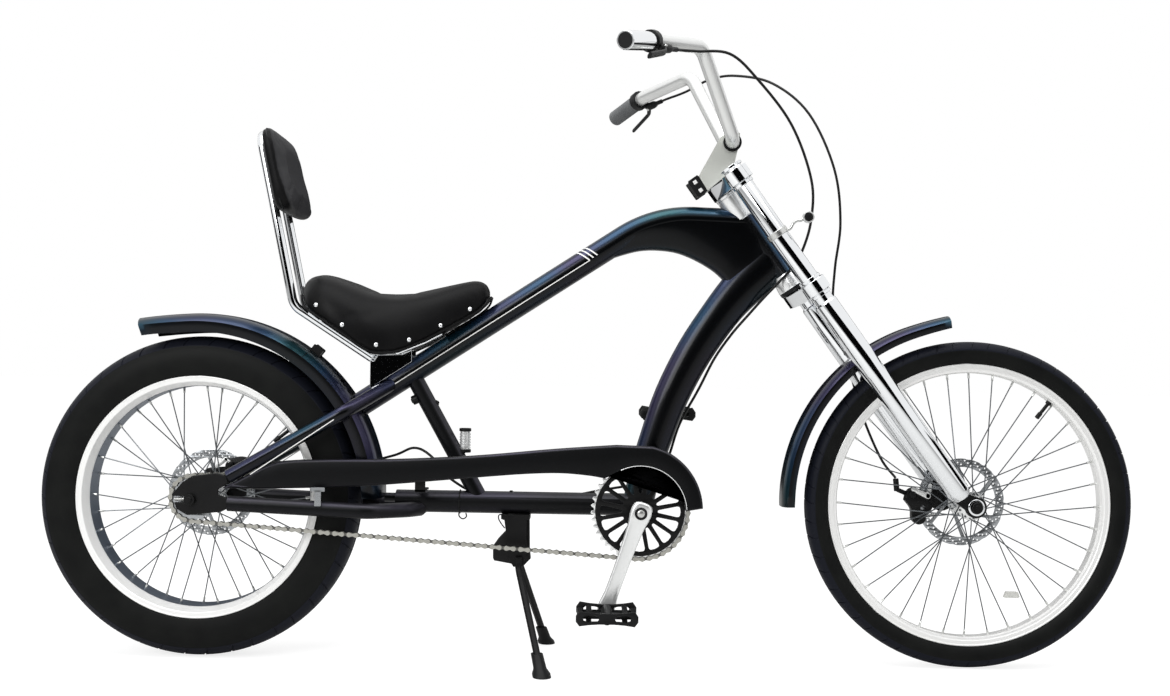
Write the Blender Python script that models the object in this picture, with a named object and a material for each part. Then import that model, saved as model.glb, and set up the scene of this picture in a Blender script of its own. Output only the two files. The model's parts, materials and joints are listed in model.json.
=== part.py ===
# Chopper bicycle on its centre stand.
# Metres, +Z up, +X forward, +Y to the rider's left. The origin is on the floor, midway along its length.

import math

import bmesh
import bpy
from mathutils import Matrix, Vector

GAP = 0.0003            # between pieces that touch

# Wheels
REAR_TYRE_R = 0.287
REAR_TYRE_WIDTH = 0.095
REAR_TYRE_HEIGHT = 0.071
REAR_RIM_DEPTH = 0.019
REAR_RIM_R = REAR_TYRE_R - REAR_TYRE_HEIGHT
REAR_RIM_INNER_R = REAR_RIM_R - REAR_RIM_DEPTH
REAR_RIM_WIDTH = REAR_TYRE_WIDTH - 0.010
FRONT_TYRE_R = 0.294
FRONT_TYRE_WIDTH = 0.050
FRONT_TYRE_HEIGHT = 0.040
FRONT_RIM_DEPTH = 0.017
FRONT_RIM_R = FRONT_TYRE_R - FRONT_TYRE_HEIGHT
FRONT_RIM_INNER_R = FRONT_RIM_R - FRONT_RIM_DEPTH
FRONT_RIM_WIDTH = FRONT_TYRE_WIDTH - 0.017
WHEELBASE = 1.3815
SPOKE_COUNT = 36
SPOKE_R = 0.0011
SPOKE_CROSS = math.radians(60)
WHEEL_SEGMENTS = 44
ROTOR_R = 0.080
ROTOR_THICKNESS = 0.002

OVERALL_LENGTH = REAR_TYRE_R + WHEELBASE + FRONT_TYRE_R
REAR_AXLE = Vector((REAR_TYRE_R - OVERALL_LENGTH / 2, 0, REAR_TYRE_R))
FRONT_AXLE = Vector((REAR_AXLE.x + WHEELBASE, 0, FRONT_TYRE_R))
AXLE_R = 0.005
NUT_R = 0.0095
NUT_LENGTH = 0.008

# Fenders, clear of the tyres by these amounts
REAR_FENDER_R = REAR_TYRE_R + 0.041
REAR_FENDER_HALF = REAR_TYRE_WIDTH / 2 + 0.007
REAR_FENDER_SKIRT = 0.034
FENDER_STUB_R = 0.008
FRONT_FENDER_R = FRONT_TYRE_R + 0.044
FRONT_FENDER_HALF = FRONT_TYRE_WIDTH / 2 + 0.011
FRONT_FENDER_SKIRT = 0.022
FENDER_BRIDGE_R = 0.007
SHEET = 0.0018
CABLE_R = 0.0025

# Drive
BRACKET_AXIS = Vector((0.0935, 0, 0.278))
BRACKET_SHELL_R = 0.024
BRACKET_SHELL_HALF = 0.036
CRANK_AXLE_R = 0.0085
CRANK_SHOULDER_R = 0.0125
CRANK_LENGTH = 0.175
CRANK_LEAN = math.radians(19.2)          # right arm behind straight down
CRANK_THICKNESS = 0.015
CHAIN_PITCH = 0.0127
CHAINRING_TEETH = 42
SPROCKET_TEETH = 20
CHAINLINE = REAR_FENDER_HALF + 0.0065
CHAIN_WIDTH = 0.0085
CHAIN_HEIGHT = 0.0082
PLATE_THICKNESS = 0.0024
TOOTH_HEIGHT = 0.0036
GUARD_INNER_Y = CHAINLINE + 0.0065
GUARD_OUTER_Y = GUARD_INNER_Y + 0.0165
GUARD_WALL = 0.0022
CRANK_INNER_Y = GUARD_OUTER_Y + 0.006
PEDAL_SPINDLE_R = 0.005
PEDAL_GAP = 0.004
PEDAL_LENGTH = 0.104
PEDAL_WIDTH = 0.096
PEDAL_THICKNESS = 0.027
PEDAL_WAIST = 0.70              # thickness of the middle bar's top, of the whole
PEDAL_UNDERSIDE = 0.90
PEDAL_BAR_HALF = 0.0125
PEDAL_END_WALL = 0.009
PEDAL_SIDE_WALL = 0.010

# Frame tubes
TOP_TUBE_R = 0.022
LOWER_TUBE_R = 0.020
LOWER_TUBE_Z = BRACKET_AXIS.z + 0.005
LOWER_TUBE_REAR_X = REAR_AXLE.x + REAR_FENDER_R + 0.02125
FENDER_STUB_Z = LOWER_TUBE_Z + 0.006
STRUT_R = 0.015
CHAIN_STAY_R = 0.0135
SEAT_STAY_R = 0.0125
DROPOUT_INNER_Y = CHAINLINE + 0.014
DROPOUT_THICKNESS = 0.007
STAY_Y = DROPOUT_INNER_Y + 0.0055
HUB_PLAY = 0.0005
REAR_ROTOR_Y = DROPOUT_INNER_Y - 0.020
GUSSET_HALF = 0.012
DOWN_TUBE_HALF_WIDTH = 0.021

# Steering: a local frame with Z up the steering axis and X ahead of it
STEERING_ANGLE = math.radians(36)
STEERING_TOP = Vector((0.2352, 0, 0.8616))
HEAD_TUBE_R = 0.022
HEAD_TUBE_BORE_R = 0.0165
HEAD_TUBE_TOP = -0.028
HEAD_TUBE_BOTTOM = -0.214
HEADSET_CUP_R = 0.0245
STEERER_R = 0.0143
LEG_AHEAD = 0.020
LEG_Y = 0.068
STANCHION_R = 0.018
LOWER_LEG_R = 0.0205
FORK_DROPOUT_Y = LEG_Y - 0.018
FORK_DROPOUT_THICKNESS = 0.010
FRONT_ROTOR_Y = FORK_DROPOUT_Y - 0.009
UPPER_CROWN_Z = -0.004
LOWER_CROWN_Z = -0.242
CROWN_THICKNESS = 0.024
STEERER_TOP = UPPER_CROWN_Z + CROWN_THICKNESS / 2 + 0.004
BAR_R = 0.0125

# Top tube: straight up from behind the seat stays, then bent level to the head tube
TOP_TUBE_REAR_ANGLE = math.radians(30.91)
TOP_TUBE_REAR_OUT = Vector((math.cos(TOP_TUBE_REAR_ANGLE), 0, math.sin(TOP_TUBE_REAR_ANGLE)))
TOP_TUBE_REAR = REAR_AXLE + TOP_TUBE_REAR_OUT * (REAR_FENDER_R + 0.001)
TOP_TUBE_BEND = Vector((0.116, 0, 0.8035))
TOP_TUBE_FRONT = Vector((0.275, 0, 0.7985))
TOP_TUBE_BEND_R = 0.22
TOP_TUBE_ALONG = (TOP_TUBE_BEND - TOP_TUBE_REAR).normalized()
TOP_TUBE_RISE = TOP_TUBE_R / TOP_TUBE_ALONG.x    # of its upper side over its middle, straight up


def top_tube_height(x):
    """Middle of the top tube's straight part."""
    return TOP_TUBE_REAR.z + (x - TOP_TUBE_REAR.x) * TOP_TUBE_ALONG.z / TOP_TUBE_ALONG.x


# Saddle: x, top and lower edge from the edge's lowest point, and half width
SADDLE_STATIONS = (
    (-0.133, 0.124, 0.0980, 0.050), (-0.120, 0.136, 0.0773, 0.088), (-0.090, 0.140, 0.0580, 0.112),
    (-0.050, 0.126, 0.0322, 0.120), (0.000, 0.107, 0.0000, 0.112), (0.045, 0.103, 0.0020, 0.094),
    (0.090, 0.112, 0.0220, 0.072), (0.135, 0.126, 0.0480, 0.054), (0.175, 0.136, 0.0720, 0.043),
    (0.194, 0.130, 0.0880, 0.032), (0.201, 0.118, 0.1020, 0.016),
)
PAN_STATIONS = (
    (-0.117, 0.0754, 0.076), (-0.090, 0.0580, 0.102), (-0.050, 0.0322, 0.110), (0.000, 0.0000, 0.102),
    (0.045, 0.0020, 0.084), (0.090, 0.0220, 0.063), (0.118, 0.0380, 0.050),
)

# Saddle and backrest
SADDLE_EDGE_X = TOP_TUBE_REAR.x + 0.032          # lowest point of the saddle's lower edge
SADDLE_EDGE_SLOPE = 0.644       # of the lower edge behind that point
SADDLE_CLEAR = 0.0014           # over the top tube, where saddle or pan comes closest
PAN_THICKNESS = 0.0025
UNDERSIDE = [(x, edge) for x, top, edge, half in SADDLE_STATIONS]
UNDERSIDE += [(x, edge - GAP - PAN_THICKNESS) for x, edge, half in PAN_STATIONS]
SADDLE_EDGE_Z = TOP_TUBE_RISE + SADDLE_CLEAR + max(
    top_tube_height(SADDLE_EDGE_X + x) - edge for x, edge in UNDERSIDE)
BACKREST_TUBE_R = 0.008
BACKREST_HALF = 0.050
BACKREST_CORNER_X = SADDLE_EDGE_X - 0.146
BACKREST_TOP = (SADDLE_EDGE_X - 0.2115, 0, SADDLE_EDGE_Z + 0.388)
PAD_HALF_WIDTH = 0.105

# Stand
STAND_PIVOT = Vector((-0.121, 0, 0.182))
STAND_FOOT = Vector((-0.072, 0.140, 0.0))
STAND_LEG_R = 0.0065
STAND_PIN_R = 0.005
STAND_FOOT_R = 0.016
STAND_FOOT_HEIGHT = 0.036

STEER_X = Vector((math.cos(STEERING_ANGLE), 0, math.sin(STEERING_ANGLE)))
STEER_Z = Vector((-math.sin(STEERING_ANGLE), 0, math.cos(STEERING_ANGLE)))
STEERING = Matrix((
    (STEER_X.x, 0, STEER_Z.x, STEERING_TOP.x),
    (0, 1, 0, 0),
    (STEER_X.z, 0, STEER_Z.z, STEERING_TOP.z),
    (0, 0, 0, 1),
))
TO_STEERING = STEERING.inverted()
AXLE_LOCAL = TO_STEERING @ FRONT_AXLE


def clear_scene():
    for item in list(bpy.data.objects):
        bpy.data.objects.remove(item, do_unlink=True)


def material(name, colour, roughness, metallic=0.0):
    made = bpy.data.materials.get(name)
    if made is None:
        made = bpy.data.materials.new(name)
        made.use_nodes = True
        shader = made.node_tree.nodes["Principled BSDF"]
        shader.inputs["Base Color"].default_value = (*colour, 1)
        shader.inputs["Roughness"].default_value = roughness
        shader.inputs["Metallic"].default_value = metallic
    return made


def paint():
    return material("black pearl paint", (0.012, 0.014, 0.018), 0.3)


def black_metal():
    return material("black coated steel", (0.015, 0.015, 0.016), 0.45)


def chrome():
    return material("chrome", (0.75, 0.76, 0.78), 0.12, 1.0)


def aluminium():
    return material("polished aluminium", (0.78, 0.79, 0.8), 0.25, 1.0)


def rubber():
    return material("tyre rubber", (0.02, 0.02, 0.022), 0.7)


def leather():
    return material("black leather", (0.015, 0.015, 0.016), 0.5)


def plastic():
    return material("black plastic", (0.03, 0.03, 0.032), 0.5)


def steel():
    return material("grey steel", (0.35, 0.35, 0.36), 0.35, 1.0)


def finish_mesh(name, mesh_data, surface, origin=None, smooth=30):
    """Make a node from a bmesh given in world space, or in the frame of a matrix."""
    bmesh.ops.remove_doubles(mesh_data, verts=mesh_data.verts, dist=1e-6)
    bmesh.ops.recalc_face_normals(mesh_data, faces=mesh_data.faces)
    place = Matrix()
    if isinstance(origin, Matrix):
        place = origin
    elif origin is not None:
        place = Matrix.Translation(origin)
        mesh_data.transform(place.inverted())
    mesh = bpy.data.meshes.new(name)
    mesh_data.to_mesh(mesh)
    mesh_data.free()
    mesh.shade_smooth()
    mesh.set_sharp_from_angle(angle=math.radians(smooth))
    made = bpy.data.objects.new(name, mesh)
    made.matrix_world = place
    bpy.context.scene.collection.objects.link(made)
    if surface is not None:
        mesh.materials.append(surface)
    return made


def as_cutter(made):
    made.hide_render = True
    made.display_type = "WIRE"
    return made


def boolean(target, tool, operation="DIFFERENCE", own=False):
    step = target.modifiers.new(tool.name, "BOOLEAN")
    step.operation = operation
    step.object = tool
    step.solver = "EXACT"
    step.use_self = own
    as_cutter(tool)
    return target


def circle(radius, sides):
    turn = 2 * math.pi / sides
    return [(radius * math.cos(turn * (i + 0.5)), radius * math.sin(turn * (i + 0.5))) for i in range(sides)]


def oval(half_y, half_b, sides):
    return [(half_y * c, half_b * s) for c, s in circle(1.0, sides)]


def loft(rings, loop=False):
    """Join rings of equal count; ends are capped unless the rings close on themselves."""
    mesh = bmesh.new()
    made = [[mesh.verts.new(point) for point in ring] for ring in rings]
    count = len(made[0])
    pairs = list(zip(made, made[1:]))
    if loop:
        pairs.append((made[-1], made[0]))
    for first, second in pairs:
        for i in range(count):
            j = (i + 1) % count
            mesh.faces.new((first[i], first[j], second[j], second[i]))
    if not loop:
        mesh.faces.new(made[0])
        mesh.faces.new(list(reversed(made[-1])))
    return mesh


def rounded_path(points, radius, steps=5):
    """Points of a bent tube's centreline, with an arc of the given radius at each corner."""
    points = [Vector(p) for p in points]
    path = [points[0]]
    for before, corner, after in zip(points, points[1:], points[2:]):
        into = (corner - before).normalized()
        out = (after - corner).normalized()
        turn = into.angle(out)
        if turn < 0.02:
            path.append(corner)
            continue
        reach = radius * math.tan(turn / 2)
        reach = min(reach, 0.48 * (corner - before).length, 0.48 * (after - corner).length)
        bend = reach / math.tan(turn / 2)
        inward = (out - into).normalized()
        centre = corner + inward * (bend / math.cos(turn / 2))
        start = corner - into * reach - centre
        normal = into.cross(out).normalized()
        for i in range(steps + 1):
            path.append(centre + Matrix.Rotation(turn * i / steps, 3, normal) @ start)
    path.append(points[-1])
    return path


def sweep(path, sections, up=(0, 1, 0), loop=False):
    """Carry a section, or one section for each point, along a path."""
    path = [Vector(p) for p in path]
    count = len(path)
    if not isinstance(sections[0][0], (tuple, list)):
        sections = [sections] * count
    rings = []
    side = Vector(up)
    for i, point in enumerate(path):
        after = path[(i + 1) % count] if loop or i + 1 < count else point
        before = path[i - 1] if loop or i > 0 else point
        ahead = (after - point)
        behind = (point - before)
        if ahead.length < 1e-9:
            tangent = behind.normalized()
        elif behind.length < 1e-9:
            tangent = ahead.normalized()
        else:
            tangent = (ahead.normalized() + behind.normalized()).normalized()
        side = (side - tangent * side.dot(tangent)).normalized()
        normal = tangent.cross(side)
        rings.append([point + side * a + normal * b for a, b in sections[i]])
    return loft(rings, loop)


def tube(name, path, radius, surface, sides=12, up=(0, 1, 0), origin=None):
    return finish_mesh(name, sweep(path, circle(radius, sides), up), surface, origin)


def turned(profile, centre, segments, closed=True):
    """Turn a profile of (radius, y) about the Y axis through a centre."""
    centre = Vector(centre)
    rings = []
    for i in range(segments):
        angle = 2 * math.pi * i / segments
        out = Vector((math.cos(angle), 0, math.sin(angle)))
        rings.append([centre + out * r + Vector((0, y, 0)) for r, y in profile])
    if closed:
        return loft(rings, loop=True)
    mesh = bmesh.new()
    made = [[mesh.verts.new(p) for p in ring] for ring in rings]
    for i, ring in enumerate(made):
        following = made[(i + 1) % segments]
        for j in range(len(profile) - 1):
            corners = [ring[j], ring[j + 1], following[j + 1], following[j]]
            mesh.faces.new(corners)
    for end in (0, len(profile) - 1):
        mesh.faces.new([ring[end] for ring in made])
    return mesh


def extruded(outline, low_y, high_y):
    """Extrude an outline of (x, z) between two y values."""
    rings = [[Vector((x, y, z)) for x, z in outline] for y in (low_y, high_y)]
    return loft(rings)


def box(low, high):
    mesh = bmesh.new()
    size = Vector(high) - Vector(low)
    middle = (Vector(high) + Vector(low)) / 2
    bmesh.ops.create_cube(mesh, size=1.0, matrix=Matrix.Translation(middle) @ Matrix.Diagonal((*size, 1)))
    return mesh


def rod(start, end, radius, sides=12):
    start = Vector(start)
    end = Vector(end)
    along = (end - start).normalized()
    up = (1, 0, 0) if abs(along.x) < 0.7 else (0, 1, 0)
    return sweep([start, end], circle(radius, sides), up)


def arc(centre, radius, start, end, steps):
    """Points (x, z) of an arc between two angles in degrees."""
    angles = [math.radians(start + (end - start) * i / steps) for i in range(steps + 1)]
    return [(centre[0] + radius * math.cos(a), centre[1] + radius * math.sin(a)) for a in angles]


def pitch_radius(teeth):
    return CHAIN_PITCH / (2 * math.sin(math.pi / teeth))


CHAINRING_R = pitch_radius(CHAINRING_TEETH)
SPROCKET_R = pitch_radius(SPROCKET_TEETH)

# Dropout: x and z from the axle
DROPOUT_NOSE = 0.0655
DROPOUT_OUTLINE = (
    (-0.0323, 0.0078), (-0.0148, 0.0295), (0.0029, 0.0410), (0.0440, 0.0467), (0.0637, 0.0420),
    (DROPOUT_NOSE, 0.0290), (0.0482, 0.0180), (0.0482, 0.0090), (DROPOUT_NOSE, 0.0030),
    (DROPOUT_NOSE, -0.0150), (0.0542, -0.0210), (-0.0052, -0.0277), (-0.0238, -0.0170),
)

STAY_START = DROPOUT_NOSE + 2.5 * GAP
STRUT_ENDS = (
    (TOP_TUBE_REAR.x + 0.0885, 0, TOP_TUBE_REAR.z + 0.062),
    (BRACKET_AXIS.x - 0.286, 0, LOWER_TUBE_Z + 0.003),
)

# Canister: share of the way down the strut, and its middle ahead of the strut's
CANISTER_SHARE = 0.6164
CANISTER_AHEAD = 0.0202

# Down tube: columns x, z, half depth
DOWN_TUBE_STATIONS = (
    (0.333, 0.737, 0.044),
    (0.312, 0.716, 0.042),
    (0.272, 0.676, 0.038),
    (0.235, 0.6304, 0.0345),
    (0.189, 0.5605, 0.033),
    (0.1496, 0.4812, 0.0315),
    (0.1244, 0.4098, 0.0296),
    (0.105, 0.345, 0.0285),
    (0.0945, 0.296, 0.028),
)


def top_tube_path():
    return rounded_path([TOP_TUBE_REAR, TOP_TUBE_BEND, TOP_TUBE_FRONT], TOP_TUBE_BEND_R, 6)


def down_tube_mesh(extra=0.0):
    path = [(x, 0, z) for x, z, half in DOWN_TUBE_STATIONS]
    sections = [oval(DOWN_TUBE_HALF_WIDTH + extra, half + extra, 16) for x, z, half in DOWN_TUBE_STATIONS]
    return sweep(path, sections)


def head_cutter():
    """The head tube's outside and everything ahead of it."""
    low = STEERING @ Vector((0, 0, -0.30))
    high = STEERING @ Vector((0, 0, 0.08))
    cylinder = finish_mesh("head tube cutter", rod(low, high, HEAD_TUBE_R + GAP, 24), None)
    ahead = finish_mesh("head front cutter", box((0.0, -0.1, -0.32), (0.2, 0.1, 0.1)), None, STEERING)
    return cylinder, ahead


def frame():
    head_cylinder, head_front = head_cutter()
    top_path = top_tube_path()
    top_tube = tube("top_tube", top_path, TOP_TUBE_R, paint(), 16)
    top_cutter = tube("top tube cutter", top_path, TOP_TUBE_R + GAP, None, 16)

    # Head tube with the headset's cups pressed in its ends, up to the crowns
    cup_low = LOWER_CROWN_Z + CROWN_THICKNESS / 2 + GAP
    cup_high = UPPER_CROWN_Z - CROWN_THICKNESS / 2 - GAP
    levels = (
        (cup_low, HEADSET_CUP_R), (HEAD_TUBE_BOTTOM, HEADSET_CUP_R),
        (HEAD_TUBE_BOTTOM + 0.0005, HEAD_TUBE_R),
        (HEAD_TUBE_TOP - 0.0005, HEAD_TUBE_R), (HEAD_TUBE_TOP, HEADSET_CUP_R), (cup_high, HEADSET_CUP_R),
    )
    head = sweep([STEERING @ Vector((0, 0, z)) for z, r in levels], [circle(r, 20) for z, r in levels])
    head_tube = finish_mesh("head_tube", head, paint())
    bore = rod(STEERING @ Vector((0, 0, -0.3)), STEERING @ Vector((0, 0, 0.1)), HEAD_TUBE_BORE_R, 24)
    boolean(head_tube, finish_mesh("head bore cutter", bore, None))

    down_tube = finish_mesh("down_tube", down_tube_mesh(), paint())
    down_cutter = finish_mesh("down tube cutter", down_tube_mesh(GAP), None)
    reach = Vector((0, 0.1, 0))
    shell_outside = rod(BRACKET_AXIS - reach, BRACKET_AXIS + reach, BRACKET_SHELL_R + GAP, 24)
    shell_cutter = finish_mesh("bracket shell cutter", shell_outside, None)
    below = BRACKET_AXIS.z
    under = finish_mesh("down tube end cutter", box((-0.1, -0.1, below - 0.1), (0.3, 0.1, below)), None)
    for tool in (head_cylinder, head_front, top_cutter, shell_cutter, under):
        boolean(down_tube, tool)

    # Web under the top tube, in the corner with the down tube
    web = [
        (0.020, 0.735), (0.042, 0.728), (0.062, 0.735), (0.086, 0.741), (0.114, 0.743), (0.148, 0.740),
        (0.175, 0.7315), (0.201, 0.719), (0.223, 0.705), (0.239, 0.6905), (0.270, 0.676), (0.330, 0.735),
        (0.285, 0.798), (0.190, 0.804), (0.066, 0.768),
    ]
    gusset = finish_mesh("head gusset", extruded(web, -GUSSET_HALF, GUSSET_HALF), None)
    boolean(gusset, down_cutter)
    boolean(top_tube, gusset, "UNION")
    boolean(top_tube, head_cylinder)
    boolean(top_tube, head_front)

    lower_path = [(LOWER_TUBE_REAR_X, 0, LOWER_TUBE_Z), (BRACKET_AXIS.x, 0, LOWER_TUBE_Z)]
    lower_tube = tube("lower_tube", lower_path, LOWER_TUBE_R, paint(), 16)
    beyond = max(0.0, abs(FENDER_STUB_Z - REAR_AXLE.z) - FENDER_STUB_R)
    stub_x = REAR_AXLE.x + math.sqrt(REAR_FENDER_R ** 2 - beyond ** 2) + GAP
    stub_ends = [(x, 0, FENDER_STUB_Z) for x in (stub_x, LOWER_TUBE_REAR_X + 0.01)]
    stub = rod(*stub_ends, FENDER_STUB_R, 10)
    boolean(lower_tube, finish_mesh("fender stub", stub, None), "UNION")
    boolean(lower_tube, shell_cutter)
    boolean(lower_tube, down_cutter)
    lower_cutter = tube("lower tube cutter", lower_path, LOWER_TUBE_R + GAP, None, 16)

    strut = tube("seat_strut", STRUT_ENDS, STRUT_R, paint(), 16)
    boolean(strut, top_cutter)
    boolean(strut, lower_cutter)

    shell = turned(
        [(BRACKET_SHELL_R, -BRACKET_SHELL_HALF), (BRACKET_SHELL_R, BRACKET_SHELL_HALF),
         (0.0115, BRACKET_SHELL_HALF), (0.0115, -BRACKET_SHELL_HALF)], BRACKET_AXIS, 24)
    finish_mesh("bracket_shell", shell, paint())

    for side, name in ((-1, "right"), (1, "left")):
        dropout(side, name)
        chain_path = rounded_path([
            (REAR_AXLE.x + STAY_START, side * STAY_Y, REAR_AXLE.z - 0.006),
            (LOWER_TUBE_REAR_X - 0.040, side * STAY_Y, LOWER_TUBE_Z - 0.012),
            (LOWER_TUBE_REAR_X + 0.027, side * 0.036, LOWER_TUBE_Z - 0.0125),
            (LOWER_TUBE_REAR_X + 0.045, side * 0.010, LOWER_TUBE_Z - 0.0125)], 0.05, 4)
        chain_stay = tube("chain_stay_" + name, chain_path, CHAIN_STAY_R, paint(), 12)
        boolean(chain_stay, lower_cutter)
        seat_path = rounded_path([
            (REAR_AXLE.x + STAY_START, side * STAY_Y, REAR_AXLE.z + 0.0415),
            (TOP_TUBE_REAR.x - 0.016, side * STAY_Y, TOP_TUBE_REAR.z - 0.0115),
            (TOP_TUBE_REAR.x + 0.040, side * 0.030, TOP_TUBE_REAR.z + 0.026),
            (TOP_TUBE_REAR.x + 0.062, side * 0.006, TOP_TUBE_REAR.z + 0.041)], 0.05, 4)
        seat_stay = tube("seat_stay_" + name, seat_path, SEAT_STAY_R, paint(), 12)
        boolean(seat_stay, top_cutter)


def dropout(side, name):
    """Flat plate behind the stays, with the axle's slot open to the rear."""
    inner = DROPOUT_INNER_Y
    outer = inner + DROPOUT_THICKNESS
    axle = REAR_AXLE
    low, high = sorted((side * inner, side * outer))
    outline = [(axle.x + x, axle.z + z) for x, z in DROPOUT_OUTLINE]
    plate = finish_mesh("dropout_" + name, extruded(outline, low, high), black_metal())
    half = AXLE_R + GAP
    rear = axle.x - 0.066
    slot = arc((axle.x, axle.z), half, -90, 90, 6) + [(rear, axle.z + half), (rear, axle.z - half)]
    boolean(plate, finish_mesh("axle slot cutter " + name, extruded(slot, low - 0.01, high + 0.01), None))


def wheel_profiles(tyre_r, tyre_width, rim_r, rim_inner_r, rim_width):
    """Tyre and rim sections as (radius, y); the tyre sits on the rim."""
    half = tyre_width / 2
    seat = rim_r + GAP
    middle = seat + 0.45 * (tyre_r - seat)
    tyre = [
        (seat, -rim_width / 2), (middle, -half),
        (middle + 0.45 * (tyre_r - middle), -0.93 * half), (tyre_r - 0.12 * (tyre_r - middle), -0.62 * half),
        (tyre_r, -0.25 * half),
    ]
    tyre += [(r, -y) for r, y in reversed(tyre)]
    edge = rim_width / 2
    rim = [
        (rim_r, -edge), (rim_r - 0.010, -edge), (rim_inner_r, -0.45 * edge), (rim_inner_r, 0.45 * edge),
        (rim_r - 0.010, edge), (rim_r, edge),
    ]
    return tyre, rim


def spoked_hub(name, centre, half, shell_r, flange_r, flange_y, rim_r, rim_y, bore_r):
    """Hub shell with two flanges and the spokes crossing to the rim, as one solid."""
    thick = 0.003
    profile = [
        (bore_r, -half), (0.013, -half), (0.013, -flange_y - thick), (flange_r, -flange_y - thick),
        (flange_r, -flange_y), (shell_r, -flange_y + 0.004),
    ]
    profile += [(r, -y) for r, y in reversed(profile)]
    hub = finish_mesh(name, turned(profile, centre, 14), aluminium(), centre)
    spokes = bmesh.new()
    each = SPOKE_COUNT // 2
    hole_r = flange_r - 0.004
    rim_r = rim_r * math.cos(math.pi / WHEEL_SEGMENTS) - 0.0007
    for side in (-1, 1):
        for i in range(each):
            lean = SPOKE_CROSS if i % 2 else -SPOKE_CROSS
            at_rim = 2 * math.pi * (i + (0.5 if side > 0 else 0.0)) / each
            at_hub = at_rim + lean
            stagger = 0.0022 if i % 2 else -0.0022
            start = centre + Vector((hole_r * math.cos(at_hub), side * (flange_y + thick / 2) + stagger,
                                     hole_r * math.sin(at_hub)))
            end = centre + Vector((rim_r * math.cos(at_rim), side * rim_y, rim_r * math.sin(at_rim)))
            piece = rod(start, end, SPOKE_R, 4)
            made = bpy.data.meshes.new("spoke")
            piece.to_mesh(made)
            piece.free()
            spokes.from_mesh(made)
            bpy.data.meshes.remove(made)
    tool = finish_mesh(name + " spokes", spokes, aluminium())
    boolean(hub, tool, "UNION", own=True)
    return hub


def toothed_outline(teeth):
    """Points (x, z) of a toothed disc about the origin."""
    radius = pitch_radius(teeth)
    points = []
    for i in range(teeth):
        for share, rise in ((0.0, -TOOTH_HEIGHT), (0.5, TOOTH_HEIGHT * 0.55)):
            angle = 2 * math.pi * (i + share) / teeth
            points.append(((radius + rise) * math.cos(angle), (radius + rise) * math.sin(angle)))
    return points


def rotor(name, centre, y):
    """Brake disc: a ring with six arms in a boss that grips the hub."""
    half = ROTOR_THICKNESS / 2
    inner = ROTOR_R - 0.018
    section = [(ROTOR_R, y - half), (ROTOR_R, y + half), (inner, y + half), (inner, y - half)]
    disc = finish_mesh(name, turned(section, centre, 24), steel(), centre)
    boss = finish_mesh(name + " boss", turned(
        [(0.024, y - half), (0.024, y + half), (0.0135, y + half), (0.0135, y - half)], centre, 16), None)
    boolean(disc, boss, "UNION")
    for i in range(6):
        a = 2 * math.pi * i / 6
        b = a + math.radians(35)
        start = centre + Vector((0.021 * math.cos(a), y, 0.021 * math.sin(a)))
        tip = inner + 0.004
        end = centre + Vector((tip * math.cos(b), y, tip * math.sin(b)))
        path = [start, end]
        flat = [(-half * 0.98, -0.004), (half * 0.98, -0.004), (half * 0.98, 0.004), (-half * 0.98, 0.004)]
        arm = finish_mesh("%s arm %d" % (name, i), sweep(path, flat, (0, 1, 0)), None)
        boolean(disc, arm, "UNION")
    return disc


def wheels():
    tyre, rim = wheel_profiles(REAR_TYRE_R, REAR_TYRE_WIDTH, REAR_RIM_R, REAR_RIM_INNER_R, REAR_RIM_WIDTH)
    finish_mesh("rear_tyre", turned(tyre, REAR_AXLE, WHEEL_SEGMENTS), rubber(), REAR_AXLE)
    finish_mesh("rear_rim", turned(rim, REAR_AXLE, WHEEL_SEGMENTS), aluminium(), REAR_AXLE)
    spoked_hub("rear_hub", REAR_AXLE, DROPOUT_INNER_Y - HUB_PLAY, 0.019, 0.031, 0.034,
               REAR_RIM_INNER_R - GAP, 0.012, AXLE_R + 0.0008)
    rotor("rear_rotor", REAR_AXLE, REAR_ROTOR_Y)
    sprocket = finish_mesh("rear_sprocket", extruded(
        [(REAR_AXLE.x + x, REAR_AXLE.z + z) for x, z in toothed_outline(SPROCKET_TEETH)],
        -CHAINLINE - PLATE_THICKNESS / 2, -CHAINLINE + PLATE_THICKNESS / 2), steel(), REAR_AXLE)
    boolean(sprocket, finish_mesh("sprocket bore cutter", rod(
        REAR_AXLE - Vector((0, 0.07, 0)), REAR_AXLE - Vector((0, 0.04, 0)), 0.013 + GAP, 24), None))

    tyre, rim = wheel_profiles(
        FRONT_TYRE_R, FRONT_TYRE_WIDTH, FRONT_RIM_R, FRONT_RIM_INNER_R, FRONT_RIM_WIDTH)
    finish_mesh("front_tyre", turned(tyre, FRONT_AXLE, WHEEL_SEGMENTS), rubber(), FRONT_AXLE)
    finish_mesh("front_rim", turned(rim, FRONT_AXLE, WHEEL_SEGMENTS), aluminium(), FRONT_AXLE)
    spoked_hub("front_hub", FRONT_AXLE, FORK_DROPOUT_Y - HUB_PLAY, 0.015, 0.026, 0.027,
               FRONT_RIM_INNER_R - GAP, 0.004, AXLE_R + 0.0008)
    rotor("front_rotor", FRONT_AXLE, FRONT_ROTOR_Y)


def nutted_axle(name, centre, seat_y, body_matrix=None):
    """Axle with a nut outside each dropout."""
    end = seat_y + GAP + NUT_LENGTH + 0.004
    nut = seat_y + GAP
    profile = [(AXLE_R, -end), (AXLE_R, -nut - NUT_LENGTH), (NUT_R, -nut - NUT_LENGTH), (NUT_R, -nut),
               (AXLE_R, -nut)]
    profile += [(r, -y) for r, y in reversed(profile)]
    mesh = turned(profile, centre, 18, closed=False)
    if body_matrix is not None:
        mesh.transform(body_matrix.inverted())
        return finish_mesh(name, mesh, steel(), body_matrix)
    return finish_mesh(name, mesh, steel())


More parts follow.
